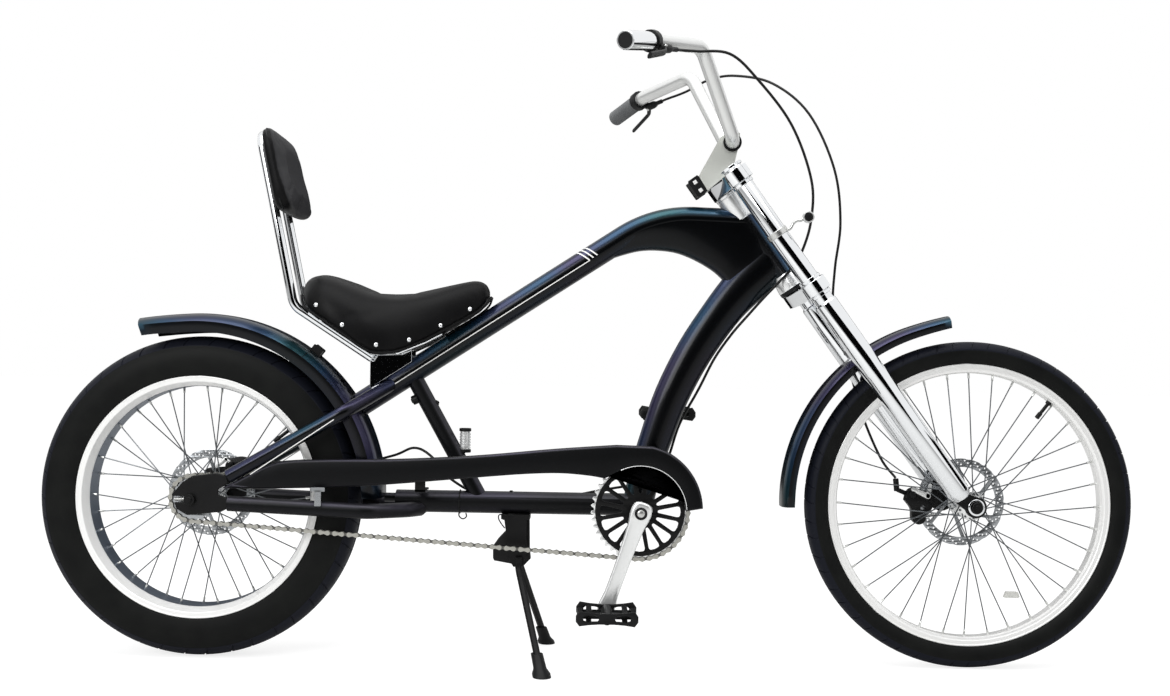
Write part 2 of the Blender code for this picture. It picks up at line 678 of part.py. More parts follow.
def on_ring(centre, radius, angle):
    return centre[0] + radius * math.cos(angle), centre[1] + radius * math.sin(angle)


def between(start, end, share):
    return start[0] + (end[0] - start[0]) * share, start[1] + (end[1] - start[1]) * share


def chain_loop():
    """Pin centres round both sprockets and along both straight runs, as (x, z)."""
    rear = (REAR_AXLE.x, REAR_AXLE.z)
    front = (BRACKET_AXIS.x, BRACKET_AXIS.z)
    span = math.dist(rear, front)
    tilt = math.atan2(front[1] - rear[1], front[0] - rear[0])
    spread = math.asin((CHAINRING_R - SPROCKET_R) / span)
    upper = tilt + spread + math.pi / 2
    lower = tilt - spread - math.pi / 2
    straight = span * math.cos(spread)
    front_wrap = CHAINRING_R * (upper - lower)
    rear_wrap = SPROCKET_R * (2 * math.pi - (upper - lower))
    length = 2 * straight + front_wrap + rear_wrap
    count = 2 * round(length / CHAIN_PITCH / 2)
    points = []
    for i in range(count):
        way = length * i / count
        if way < front_wrap:
            angle = upper - way / CHAINRING_R
            points.append(on_ring(front, CHAINRING_R, angle))
            continue
        way -= front_wrap
        if way < straight:
            start = on_ring(front, CHAINRING_R, lower)
            end = on_ring(rear, SPROCKET_R, lower)
            points.append(between(start, end, way / straight))
            continue
        way -= straight
        if way < rear_wrap:
            angle = lower - way / SPROCKET_R
            points.append(on_ring(rear, SPROCKET_R, angle))
            continue
        way -= rear_wrap
        start = on_ring(rear, SPROCKET_R, upper)
        end = on_ring(front, CHAINRING_R, upper)
        points.append(between(start, end, way / straight))
    return points


def chain():
    """Links of one fixed loop, with outer plates wider than inner ones."""
    path = []
    sections = []
    for i, (x, z) in enumerate(chain_loop()):
        path.append((x, -CHAINLINE, z))
        half_y = CHAIN_WIDTH / 2 * (1.0 if i % 2 else 0.78)
        half_b = CHAIN_HEIGHT / 2
        sections.append([(-half_y, -half_b), (half_y, -half_b), (half_y, half_b), (-half_y, half_b)])
    made = finish_mesh("chain", sweep(path, sections, loop=True), steel())
    groove = PLATE_THICKNESS / 2 + 0.001
    rings = (("chainring", BRACKET_AXIS, CHAINRING_TEETH), ("sprocket", REAR_AXLE, SPROCKET_TEETH))
    for name, centre, teeth in rings:
        reach = pitch_radius(teeth) + TOOTH_HEIGHT * 0.55 + 0.0006
        middle = Vector((centre.x, -CHAINLINE, centre.z))
        disc = rod(middle - Vector((0, groove, 0)), middle + Vector((0, groove, 0)), reach, 72)
        boolean(made, finish_mesh(name + " groove cutter", disc, None))
    return made


# Crank arm: share of its length, half width, share of its thickness
CRANK_STATIONS = (
    (-0.11, 0.010, 0.8), (-0.085, 0.0155, 1.0), (0.0, 0.0185, 1.0), (0.09, 0.0165, 0.95),
    (0.5, 0.0125, 0.72), (0.88, 0.0130, 0.66), (0.96, 0.0150, 0.70), (1.04, 0.0140, 0.70),
    (1.08, 0.0090, 0.6),
)


def crank():
    """Chainring, axle and the two arms, all on the bottom bracket's axis."""
    half = PLATE_THICKNESS / 2
    ring = finish_mesh("chainring", extruded(
        [(BRACKET_AXIS.x + x, BRACKET_AXIS.z + z) for x, z in toothed_outline(CHAINRING_TEETH)],
        -CHAINLINE - half, -CHAINLINE + half), black_metal(), BRACKET_AXIS)
    windows = bmesh.new()
    for i in range(16):
        turn = Matrix.Rotation(2 * math.pi * i / 16, 3, "Y")
        shape = [(-0.0034, 0.034), (0.0034, 0.034), (0.0085, 0.066), (0.0060, 0.0705), (-0.0060, 0.0705),
                 (-0.0085, 0.066)]
        rings = [[BRACKET_AXIS + turn @ Vector((x, y, z)) for x, z in shape]
                 for y in (-CHAINLINE - 0.01, -CHAINLINE + 0.01)]
        piece = loft(rings)
        bmesh.ops.recalc_face_normals(piece, faces=piece.faces)
        made = bpy.data.meshes.new("window")
        piece.to_mesh(made)
        piece.free()
        windows.from_mesh(made)
        bpy.data.meshes.remove(made)
    boolean(ring, finish_mesh("chainring window cutter", windows, None))
    middle = BRACKET_AXIS - Vector((0, CHAINLINE, 0))
    reach = Vector((0, 0.01, 0))
    bore = rod(middle - reach, middle + reach, CRANK_SHOULDER_R + GAP, 24)
    boolean(ring, finish_mesh("chainring bore cutter", bore, None))

    # Axle through the shell, with the shoulder that carries the chainring
    axle_end = CRANK_INNER_Y + CRANK_THICKNESS * 0.6
    clear = BRACKET_SHELL_HALF + 0.004
    shoulder = CHAINLINE + half + 0.004
    profile = [
        (CRANK_AXLE_R, -axle_end), (CRANK_AXLE_R, -shoulder), (CRANK_SHOULDER_R, -shoulder),
        (CRANK_SHOULDER_R, -clear), (CRANK_AXLE_R, -clear), (CRANK_AXLE_R, axle_end),
    ]
    finish_mesh("crank_axle", turned(profile, BRACKET_AXIS, 20, closed=False), steel(), BRACKET_AXIS)

    for side, name, lean in ((-1, "right", CRANK_LEAN), (1, "left", CRANK_LEAN + math.pi)):
        along = Vector((-math.sin(lean), 0, -math.cos(lean)))
        pedal_axis = BRACKET_AXIS + along * CRANK_LENGTH
        middle = side * (CRANK_INNER_Y + CRANK_THICKNESS / 2)
        across = Vector((-along.z, 0, along.x))
        corners = ((-1, -0.6), (-0.75, -1), (0.75, -1), (1, -0.6),
                   (1, 0.6), (0.75, 1), (-0.75, 1), (-1, 0.6))
        rings = []
        for share, half_wide, thickness in CRANK_STATIONS:
            point = BRACKET_AXIS + along * (CRANK_LENGTH * share) + Vector((0, middle, 0))
            thick = CRANK_THICKNESS / 2 * thickness
            rings.append([point + across * (half_wide * a) + Vector((0, thick * b, 0)) for a, b in corners])
        arm = finish_mesh("crank_arm_" + name, loft(rings), aluminium(), BRACKET_AXIS)
        reach = Vector((0, 0.2, 0))
        eye = rod(BRACKET_AXIS - reach, BRACKET_AXIS + reach, CRANK_AXLE_R + GAP, 20)
        boolean(arm, finish_mesh("crank eye cutter " + name, eye, None))
        start = pedal_axis + Vector((0, middle, 0))
        outer = CRANK_INNER_Y + CRANK_THICKNESS
        end = pedal_axis + Vector((0, side * (outer + PEDAL_WIDTH), 0))
        spindle = rod(start, end, PEDAL_SPINDLE_R, 16)
        boolean(arm, finish_mesh("pedal spindle " + name, spindle, None), "UNION")
        pedal(name, pedal_axis, side, outer + PEDAL_GAP)


def pedal(name, axis_point, side, inner_y):
    """Platform pedal: two cage walls, cross bars and a barrel round the spindle."""
    low, high = sorted((side * inner_y, side * (inner_y + PEDAL_WIDTH)))
    half_x = PEDAL_LENGTH / 2
    half_z = PEDAL_THICKNESS / 2
    half_side = [(half_x, half_z * 0.35), (half_x - 0.006, half_z), (half_x - 0.022, half_z * 0.80),
                 (PEDAL_BAR_HALF, half_z * PEDAL_WAIST)]
    upper = half_side + [(-x, z) for x, z in reversed(half_side)]
    outline = upper + [(x, -z * PEDAL_UNDERSIDE) for x, z in reversed(upper)]
    body = extruded([(axis_point.x + x, axis_point.z + z) for x, z in outline], low, high)
    made = finish_mesh("pedal_" + name, body, plastic(), axis_point)
    for k, sign in enumerate((-1, 1)):
        x0, x1 = sorted((sign * PEDAL_BAR_HALF, sign * (half_x - PEDAL_END_WALL)))
        slot = box((axis_point.x + x0, low + PEDAL_SIDE_WALL, axis_point.z - 0.1),
                   (axis_point.x + x1, high - PEDAL_SIDE_WALL, axis_point.z + 0.1))
        boolean(made, finish_mesh("pedal slot cutter %s %d" % (name, k), slot, None))
    start = axis_point + Vector((0, low - 0.02, 0))
    bore = rod(start, axis_point + Vector((0, high + 0.02, 0)), PEDAL_SPINDLE_R + 2 * GAP, 16)
    boolean(made, finish_mesh("pedal bore cutter " + name, bore, None))


# Chain guard's edges: x from the rear axle or from the bracket, and height over the line between them
GUARD_TOP_REAR = (
    (0.05425, 0.0211), (0.09425, 0.0431), (0.12925, 0.0615), (0.16425, 0.0719), (0.24925, 0.0768),
    (0.34925, 0.0800),
)
GUARD_TOP_FRONT = ((-0.2948, 0.0901), (-0.1509, 0.1062), (-0.0435, 0.1161))
GUARD_LOWER_FRONT = (
    (-0.0635, 0.0572), (-0.0928, 0.0613), (-0.1430, 0.0641), (-0.2042, 0.0608), (-0.2760, 0.0535),
)
GUARD_LOWER_REAR = ((0.34925, 0.0360), (0.24425, 0.0278), (0.11755, 0.0213))


def over_chain(centre, points):
    """Guard points, set by x from a centre and height over the line from rear axle to bracket."""
    rise = (BRACKET_AXIS.z - REAR_AXLE.z) / (BRACKET_AXIS.x - REAR_AXLE.x)
    return [(centre.x + x, centre.z + x * rise + z) for x, z in points]


def guard_outline(inset=0.0):
    """Side view as (x, z): top edge, round front, cut-out round the chainring, lower edge."""
    bracket = (BRACKET_AXIS.x, BRACKET_AXIS.z)
    top = over_chain(REAR_AXLE, GUARD_TOP_REAR) + over_chain(BRACKET_AXIS, GUARD_TOP_FRONT)
    front = arc((bracket[0] - 0.004, bracket[1] + 0.004), 0.1135, 78, 2, 10)
    cut = arc(bracket, 0.080, 2, 118, 12)
    lower = over_chain(BRACKET_AXIS, GUARD_LOWER_FRONT) + over_chain(REAR_AXLE, GUARD_LOWER_REAR)
    points = top + front + cut + lower
    if inset == 0.0:
        return points
    shrunk = []
    count = len(points)
    for i in range(count):
        before = Vector(points[i - 1])
        here = Vector(points[i])
        after = Vector(points[(i + 1) % count])
        first = (here - before).normalized()
        second = (after - here).normalized()
        inward = Vector((first.y + second.y, -first.x - second.x)).normalized()
        shrunk.append(tuple(here + inward * inset))
    return shrunk


def guard():
    made = finish_mesh("chain_guard", extruded(guard_outline(), -GUARD_OUTER_Y, -GUARD_INNER_Y), paint())
    pocket = extruded(guard_outline(GUARD_WALL), -GUARD_OUTER_Y + GUARD_WALL, -GUARD_INNER_Y + 0.01)
    boolean(made, finish_mesh("guard pocket cutter", pocket, None))


def fender(name, centre, outer_r, half, skirt, start, end, steps, flare, matrix=None):
    """Rolled sheet: a crowned U section carried round the wheel, its tip flared out."""
    shares = (-1.0, -0.9, -0.6, 0.0, 0.6, 0.9, 1.0)
    section = [(share * half, -0.275 * half * share ** 4) for share in shares]
    outside = [(-half, -skirt)] + section + [(half, -skirt)]
    inside = [(-half + SHEET, -skirt)]
    for y, b in section:
        under = SHEET if abs(y) < half * 0.95 else SHEET * 0.7
        inside.append((y * (half - SHEET) / half, b - under))
    inside.append((half - SHEET, -skirt))
    loop_points = outside + list(reversed(inside))
    rings = []
    for i in range(steps + 1):
        share = i / steps
        angle = math.radians(start + (end - start) * share)
        lift = flare * max(0.0, (share - 0.85) / 0.15) ** 2
        out = Vector((math.cos(angle), 0, math.sin(angle)))
        rings.append([centre + out * (outer_r + lift + b) + Vector((0, y, 0)) for y, b in loop_points])
    mesh = loft(rings)
    if matrix is not None:
        mesh.transform(matrix.inverted())
        return finish_mesh(name, mesh, paint(), matrix)
    return finish_mesh(name, mesh, paint())


def saddle():
    """Padded saddle, lofted along its length."""
    shape = ((-1.0, 0.0), (-0.99, 0.35), (-0.9, 0.72), (-0.6, 0.95), (0, 1.0), (0.6, 0.95), (0.9, 0.72),
             (0.99, 0.35), (1.0, 0.0), (0.86, 0.0), (0.6, 0.28), (0, 0.34), (-0.6, 0.28), (-0.86, 0.0))
    rings = []
    for x, top, edge, half in SADDLE_STATIONS:
        rise = top - edge
        low = SADDLE_EDGE_Z + edge
        rings.append([Vector((SADDLE_EDGE_X + x, a * half, low + b * rise)) for a, b in shape])
    finish_mesh("saddle", loft(rings), leather(), smooth=60)


def saddle_pan(low, high):
    """A layer along the saddle's lower edge, between two heights from it."""
    rings = []
    for x, edge, half in PAN_STATIONS:
        corners = ((-half, low), (half, low), (half, high), (-half, high))
        rings.append([Vector((SADDLE_EDGE_X + x, y, SADDLE_EDGE_Z + edge + z)) for y, z in corners])
    return loft(rings)


def edge_line(x):
    """Height of the saddle's lower edge behind its lowest point."""
    return SADDLE_EDGE_Z + (SADDLE_EDGE_X - x) * SADDLE_EDGE_SLOPE


def seat_parts():
    saddle()
    pan = finish_mesh("saddle_pan", saddle_pan(-GAP - PAN_THICKNESS, -GAP), chrome())
    # Bracket welded under the pan, down to the top tube
    rear = SADDLE_EDGE_X - 0.012
    front = SADDLE_EDGE_X + 0.062
    cheek = 0.0165
    over = SADDLE_EDGE_Z + 0.027
    outline = [(rear, top_tube_height(rear) + cheek), (front, top_tube_height(front) + cheek),
               (front, over), (rear, over)]
    bracket = finish_mesh("saddle bracket", extruded(outline, -0.030, 0.030), None)
    tube_line = [TOP_TUBE_REAR - TOP_TUBE_ALONG * 0.1, TOP_TUBE_BEND]
    boolean(bracket, tube("bracket seat cutter", tube_line, TOP_TUBE_R + GAP, None, 16))
    above = saddle_pan(-GAP - PAN_THICKNESS / 2, 0.06)
    boolean(bracket, finish_mesh("bracket top cutter", above, None))
    boolean(pan, bracket, "UNION")
    # Backrest tube: up one side, over behind the pad and down the other
    y = BACKREST_HALF
    slope = math.atan(SADDLE_EDGE_SLOPE)
    lift = BACKREST_TUBE_R * math.cos(math.pi / 8) + (PAN_THICKNESS + GAP) * math.cos(slope) + GAP
    below = Vector((-math.sin(slope), 0, -math.cos(slope))) * lift
    front = Vector((SADDLE_EDGE_X, 0, SADDLE_EDGE_Z)) + below
    corner = Vector((BACKREST_CORNER_X, 0, edge_line(BACKREST_CORNER_X - below.x))) + Vector((0, 0, below.z))
    top = Vector(BACKREST_TOP)
    side = [front, corner, top]
    right = [point - Vector((0, y, 0)) for point in side]
    left = [point + Vector((0, y, 0)) for point in reversed(side)]
    tube("backrest_frame", rounded_path(right + left, 0.034, 3), BACKREST_TUBE_R, chrome(), 8)
    pad(corner, top)


def pad(corner, top):
    """Backrest pad: a soft slab on the front of the backrest tubes."""
    upright = (top - corner).normalized()
    ahead = Vector((upright.z, 0, -upright.x))
    # Heights above the tube's corner and depths ahead of the tube's face
    shape = ((0.166, 0.0), (0.304, 0.0), (0.3165, 0.008), (0.312, 0.020), (0.292, 0.0265), (0.230, 0.0275),
             (0.180, 0.0330), (0.166, 0.0300), (0.160, 0.018))
    face = BACKREST_TUBE_R + GAP
    outline = [corner + upright * rise + ahead * (face + depth) for rise, depth in shape]
    middle = sum(outline, Vector()) / len(outline)
    rings = []
    ends = ((-1.0, 0.72), (-0.94, 0.93), (-0.80, 1.0), (0.80, 1.0), (0.94, 0.93), (1.0, 0.72))
    for share_y, share in ends:
        aside = Vector((0, share_y * PAD_HALF_WIDTH, 0))
        rings.append([middle + (point - middle) * share + aside for point in outline])
    finish_mesh("backrest_pad", loft(rings), leather(), smooth=60)


def crown(name, z, rear):
    """Fork crown plate, square to the steering axis."""
    half_t = CROWN_THICKNESS / 2
    ahead = LEG_AHEAD
    reach = STANCHION_R + 0.007
    outline = (
        arc((ahead, LEG_Y), reach, 20, 180, 8)
        + [(rear, 0.030), (rear, -0.030)]
        + arc((ahead, -LEG_Y), reach, 180, 340, 8)
        + [(ahead + reach * 0.72, 0.0)]
    )
    rings = [[Vector((x, y, z + t)) for x, y in outline] for t in (-half_t, half_t)]
    made = finish_mesh(name, loft(rings), chrome(), STEERING)
    for side, label in ((-1, "right"), (1, "left")):
        hole = rod((ahead, side * LEG_Y, z - 0.05), (ahead, side * LEG_Y, z + 0.05), STANCHION_R + GAP, 24)
        boolean(made, finish_mesh("%s clamp cutter %s" % (name, label), hole, None, STEERING))
    return made


def fork():
    upper = crown("upper_crown", UPPER_CROWN_Z, -0.024)
    hole = rod((0, 0, UPPER_CROWN_Z - 0.05), (0, 0, UPPER_CROWN_Z + 0.05), STEERER_R + GAP, 24)
    boolean(upper, finish_mesh("steerer hole cutter", hole, None, STEERING))
    # The steerer is pressed into the lower crown and held by the upper one
    lower = crown("lower_crown", LOWER_CROWN_Z, -0.022)
    steerer = rod((0, 0, LOWER_CROWN_Z), (0, 0, STEERER_TOP), STEERER_R, 20)
    boolean(lower, finish_mesh("steerer", steerer, None, STEERING), "UNION")
    top = UPPER_CROWN_Z + CROWN_THICKNESS / 2 + 0.006
    lower_top = LOWER_CROWN_Z - 0.030
    leg_bottom = AXLE_LOCAL.z + 0.030
    levels = (
        (top, STANCHION_R), (lower_top, STANCHION_R), (lower_top - 0.004, LOWER_LEG_R),
        (leg_bottom + 0.012, LOWER_LEG_R), (leg_bottom, 0.013),
    )
    for side, name in ((-1, "right"), (1, "left")):
        leg = sweep([(LEG_AHEAD, side * LEG_Y, z) for z, r in levels], [circle(r, 20) for z, r in levels])
        finish_mesh("fork_leg_" + name, leg, chrome(), STEERING)
        # Dropout: a flat lug from the leg's foot to the axle
        x0, z0 = LEG_AHEAD, leg_bottom - GAP
        ax, az = AXLE_LOCAL.x, AXLE_LOCAL.z
        lug = [(x0 - 0.013, z0), (x0 + 0.013, z0)] + arc((ax, az), 0.019, 20, -200, 12)
        low, high = sorted((side * FORK_DROPOUT_Y, side * (FORK_DROPOUT_Y + FORK_DROPOUT_THICKNESS)))
        made = finish_mesh("fork_dropout_" + name, extruded(lug, low, high), black_metal(), STEERING)
        hole = rod((ax, low - 0.01, az), (ax, high + 0.01, az), AXLE_R + GAP, 16)
        boolean(made, finish_mesh("fork dropout cutter " + name, hole, None, STEERING))
    nutted_axle("front_axle", FRONT_AXLE, FORK_DROPOUT_Y + FORK_DROPOUT_THICKNESS, STEERING)


def fenders():
    start = math.degrees(math.asin((FENDER_STUB_Z + 0.0009 - REAR_AXLE.z) / REAR_FENDER_R))
    fender("rear_fender", REAR_AXLE, REAR_FENDER_R, REAR_FENDER_HALF, REAR_FENDER_SKIRT,
           start, 109.5, 18, 0.009)
    front = fender("front_fender", FRONT_AXLE, FRONT_FENDER_R, FRONT_FENDER_HALF, FRONT_FENDER_SKIRT,
                   181.5, 97.3, 15, 0.004, STEERING)
    # Bridge welded across the front fender, between the fork legs
    from_axle = FRONT_FENDER_R + FENDER_BRIDGE_R - SHEET / 2
    bridge_z = AXLE_LOCAL.z + math.sqrt(from_axle ** 2 - (AXLE_LOCAL.x - LEG_AHEAD) ** 2)
    reach = LEG_Y - 0.002
    bridge = rod((LEG_AHEAD, -reach, bridge_z), (LEG_AHEAD, reach, bridge_z), FENDER_BRIDGE_R, 10)
    boolean(front, finish_mesh("fender bridge", bridge, None, STEERING), "UNION")
    for side, name in ((-1, "right"), (1, "left")):
        leg_start = (LEG_AHEAD, side * LEG_Y, bridge_z - 0.05)
        leg = rod(leg_start, (LEG_AHEAD, side * LEG_Y, bridge_z + 0.05), LOWER_LEG_R + GAP, 20)
        boolean(front, finish_mesh("bridge leg cutter " + name, leg, None, STEERING))


def local(x, y, z):
    """World point to the steering frame."""
    return TO_STEERING @ Vector((x, y, z))


# Left half of the bar in world space, and where each brake cable leaves its lever
BAR_CLAMP = Vector((0.249, 0, 0.937))
BAR_CLAMP_HALF = 0.046
BAR_BEND = (0.183, 0.118, 1.086)
BAR_END = (0.0472, 0.327, 1.0430)
GRIP_START = (0.099, 0.229, 1.066)
CABLE_START = (0.1345, 0.2135, 1.0565)
BARREL = ((0.0, 0.0075), (0.40, 0.0075), (0.52, 0.0060), (0.62, 0.0042), (1.0, 0.0042))


def cockpit():
    """Stem, handlebar, grips and levers."""
    half = [BAR_END, GRIP_START, BAR_BEND, (BAR_CLAMP.x, BAR_CLAMP_HALF, BAR_CLAMP.z)]
    right = [local(x, -y, z) for x, y, z in half]
    left = [local(x, y, z) for x, y, z in reversed(half)]
    path = rounded_path(right + left, 0.032, 4)
    finish_mesh("handlebar", sweep(path, circle(BAR_R, 8), (0, 0, 1)), chrome(), STEERING)
    centre = TO_STEERING @ BAR_CLAMP
    # Stem: block on the upper crown up to the bar, split by the bar's clamp
    base_z = UPPER_CROWN_Z + CROWN_THICKNESS / 2 + GAP
    outline = [(-0.030, base_z), (0.024, base_z), (centre.x + 0.012, centre.z - 0.006),
               (centre.x + 0.021, centre.z + 0.006), (centre.x + 0.012, centre.z + 0.020),
               (centre.x - 0.012, centre.z + 0.020), (-0.028, base_z + 0.030)]
    stem = finish_mesh("stem", extruded(outline, -0.024, 0.024), aluminium(), STEERING)
    bar_hole = rod((centre.x, -0.1, centre.z), (centre.x, 0.1, centre.z), BAR_R + GAP, 20)
    boolean(stem, finish_mesh("stem bar cutter", bar_hole, None, STEERING))
    steerer_hole = rod((0, 0, -0.02), (0, 0, STEERER_TOP + GAP), STEERER_R + GAP, 20)
    boolean(stem, finish_mesh("stem steerer cutter", steerer_hole, None, STEERING))
    for side, name in ((-1, "right"), (1, "left")):
        inner = local(GRIP_START[0], side * GRIP_START[1], GRIP_START[2])
        outer = local(BAR_END[0], side * BAR_END[1], BAR_END[2])
        along = (outer - inner).normalized()
        grip = sleeve(outer - along * 0.0865, outer + along * 0.003, BAR_R + 0.0030, BAR_R + GAP, 16)
        finish_mesh("grip_" + name, grip, plastic(), STEERING)
        lever(name, inner, along, side)


def sleeve(start, end, radius, bore, sides):
    """A short tube between two points."""
    start = Vector(start)
    end = Vector(end)
    along = (end - start).normalized()
    side = Vector((0, 0, 1)).cross(along).normalized()
    normal = along.cross(side)
    rings = []
    for i in range(sides):
        angle = 2 * math.pi * i / sides
        out = side * math.cos(angle) + normal * math.sin(angle)
        rings.append([start + out * radius, end + out * radius, end + out * bore, start + out * bore])
    return loft(rings, loop=True)


def lever(name, at, along, side):
    """Brake lever: a clamp on the bar, a body with the cable's barrel and a blade beside the grip."""
    clamp_at = at + along * 0.0185
    half = along * 0.0065
    clamp = sleeve(clamp_at - half, clamp_at + half, BAR_R + 0.006, BAR_R + GAP, 16)
    made = finish_mesh("brake_lever_" + name, clamp, black_metal(), STEERING)
    ahead = (TO_STEERING.to_3x3() @ Vector((0.86, 0, -0.5))).normalized()
    root = clamp_at + ahead * 0.0225
    neck = rod(clamp_at + ahead * (BAR_R + 0.0048), root + ahead * 0.004, 0.0065, 10)
    boolean(made, finish_mesh("lever neck " + name, neck, None, STEERING), "UNION")
    mouth = local(CABLE_START[0], side * CABLE_START[1], CABLE_START[2])
    reach = (mouth - root).normalized()
    stations = [root + (mouth - reach * 2 * GAP - root) * share for share, radius in BARREL]
    body = sweep(stations, [circle(radius, 10) for share, radius in BARREL], along)
    boolean(made, finish_mesh("lever body " + name, body, None, STEERING), "UNION")
    blade_path = rounded_path([clamp_at + ahead * 0.024, clamp_at + ahead * 0.036 + along * 0.022,
                               clamp_at + ahead * 0.046 + along * 0.100], 0.02, 3)
    blade = sweep(blade_path, oval(0.0035, 0.006, 8), ahead)
    boolean(made, finish_mesh("lever blade " + name, blade, None, STEERING), "UNION")


def calipers():
    """Brake calipers astride the rotors: front on the left leg, rear in the left stays."""
    # Front: body in the steering frame, behind the left leg
    y = FRONT_ROTOR_Y
    slot_half = ROTOR_THICKNESS / 2 + 0.0015
    slot_r = ROTOR_R + 0.003
    at = AXLE_LOCAL + Vector((-0.070, 0, 0.030))
    outline = [(-0.020, -0.030), (0.018, -0.030), (0.022, 0.026), (-0.012, 0.032), (-0.024, 0.010)]
    shape = [(at.x + x, at.z + z) for x, z in outline]
    made = finish_mesh("front_caliper", extruded(shape, y - 0.010, LEG_Y - 0.019), black_metal(), STEERING)
    low = AXLE_LOCAL + Vector((0, y - slot_half, 0))
    slot = rod(low, low + Vector((0, 2 * slot_half, 0)), slot_r, 48)
    arm = box((at.x - 0.004, LEG_Y - 0.021, at.z + 0.008), (LEG_AHEAD, LEG_Y - 0.009, at.z + 0.027))
    boolean(made, finish_mesh("front caliper arm", arm, None, STEERING), "UNION")
    leg = rod((LEG_AHEAD, LEG_Y, at.z - 0.05), (LEG_AHEAD, LEG_Y, at.z + 0.05), LOWER_LEG_R + GAP, 20)
    boolean(made, finish_mesh("caliper leg cutter", leg, None, STEERING))
    boolean(made, finish_mesh("front caliper slot cutter", slot, None, STEERING))
    # Rear
    y = REAR_ROTOR_Y
    at = REAR_AXLE + Vector((0.052, 0, 0.058))
    outline = ((-0.026, -0.012), (0.012, -0.020), (0.030, 0.006), (0.010, 0.026), (-0.022, 0.022))
    shape = [(at.x + x, at.z + z) for x, z in outline]
    stay_face = STAY_Y - SEAT_STAY_R * math.cos(math.pi / 12) - GAP
    made = finish_mesh("rear_caliper", extruded(shape, y - 0.006, stay_face), black_metal())
    low = REAR_AXLE + Vector((0, y - slot_half, 0))
    slot = rod(low, low + Vector((0, 2 * slot_half, 0)), slot_r, 48)
    boolean(made, finish_mesh("rear caliper slot cutter", slot, None))


def canister():
    """Small ribbed reservoir on the front of the seat strut."""
    start, end = STRUT_ENDS
    seat = Vector(start).lerp(Vector(end), CANISTER_SHARE)
    at = seat + Vector((CANISTER_AHEAD, 0, -0.003))
    levels = [(0.0, 0.0115), (0.006, 0.0115), (0.0062, 0.0095)]
    for i in range(4):
        low = 0.0075 + i * 0.007
        levels += [(low, 0.0100), (low + 0.0045, 0.0100), (low + 0.0048, 0.0088)]
    levels += [(0.0365, 0.0088), (0.0367, 0.0128), (0.042, 0.0128), (0.044, 0.0105)]
    rings = [[at + Vector((a, b, z)) for a, b in circle(r, 10)] for z, r in levels]
    made = finish_mesh("canister", loft(rings), aluminium())
    arm = box(seat + Vector((-0.009, -0.006, -0.0025)), seat + Vector((CANISTER_AHEAD, 0.006, 0.0025)))
    boolean(made, finish_mesh("canister arm", arm, None), "UNION")
    strut = rod(*STRUT_ENDS, STRUT_R + GAP, 16)
    boolean(made, finish_mesh("canister strut cutter", strut, None))


def stand():
    """Double-leg centre stand: bracket under the lower tube, yoke with two legs, rubber feet."""
    pivot = STAND_PIVOT
    plate_top = LOWER_TUBE_Z - LOWER_TUBE_R - GAP
    outline = [(pivot.x - 0.033, plate_top), (pivot.x + 0.019, plate_top),
               (pivot.x + 0.019, plate_top - 0.008), (pivot.x + 0.013, plate_top - 0.010),
               (pivot.x + 0.013, pivot.z), (pivot.x + 0.009, pivot.z - 0.011),
               (pivot.x - 0.009, pivot.z - 0.013), (pivot.x - 0.016, pivot.z - 0.004),
               (pivot.x - 0.027, plate_top - 0.010), (pivot.x - 0.033, plate_top - 0.008)]
    bracket = finish_mesh("stand_bracket", extruded(outline, -0.019, 0.019), black_metal())
    reach = Vector((0, 0.05, 0))
    hole = rod(pivot - reach, pivot + reach, STAND_PIN_R + GAP, 12)
    boolean(bracket, finish_mesh("stand pivot cutter", hole, None))
    foot_top = STAND_FOOT_HEIGHT * 0.72
    # Yoke: pivot pin, cheeks and legs
    reach = Vector((0, 0.034, 0))
    pin = finish_mesh("stand_legs", rod(pivot - reach, pivot + reach, STAND_PIN_R, 12), black_metal(), pivot)
    for side, name in ((-1, "right"), (1, "left")):
        start = pivot + Vector((0, side * 0.026, 0))
        end = Vector((STAND_FOOT.x, side * STAND_FOOT.y, STAND_FOOT.z))
        bend = start - Vector((0, 0, 0.014))
        along = (end - bend).normalized()
        tip = end - along * (foot_top / abs(along.z))
        path = [start + Vector((0, 0, 0.006)), bend, tip]
        leg = sweep(rounded_path(path, 0.03, 3), circle(STAND_LEG_R, 8), (1, 0, 0))
        boolean(pin, finish_mesh("stand leg " + name, leg, None), "UNION")
        rings = []
        levels = ((0.0, STAND_FOOT_R), (0.006, STAND_FOOT_R), (0.014, STAND_FOOT_R * 0.72),
                  (STAND_FOOT_HEIGHT, STAND_FOOT_R * 0.66))
        for z, r in levels:
            middle = end - along * (z / abs(along.z))
            rings.append([Vector((middle.x + a, middle.y + b, z)) for a, b in circle(r, 16)])
        foot = finish_mesh("stand_foot_" + name, loft(rings), rubber(), pivot)
        boolean(foot, finish_mesh("foot socket cutter " + name, sweep(
            [tip + along * GAP, bend], circle(STAND_LEG_R + 2 * GAP, 12), (1, 0, 0)), None))


def smooth_route(points, per_span):
    """Points of a smooth curve through a route's own points."""
    points = [Vector(p) for p in points]
    padded = [points[0] * 2 - points[1]] + points + [points[-1] * 2 - points[-2]]
    route = []
    for before, start, end, after in zip(padded, padded[1:], padded[2:], padded[3:]):
        for i in range(per_span):
            t = i / per_span
            square = 2 * before - 5 * start + 4 * end - after
            cube = 3 * start - before - 3 * end + after
            route.append(0.5 * (2 * start + (end - before) * t + square * t ** 2 + cube * t ** 3))
    route.append(points[-1])
    return route


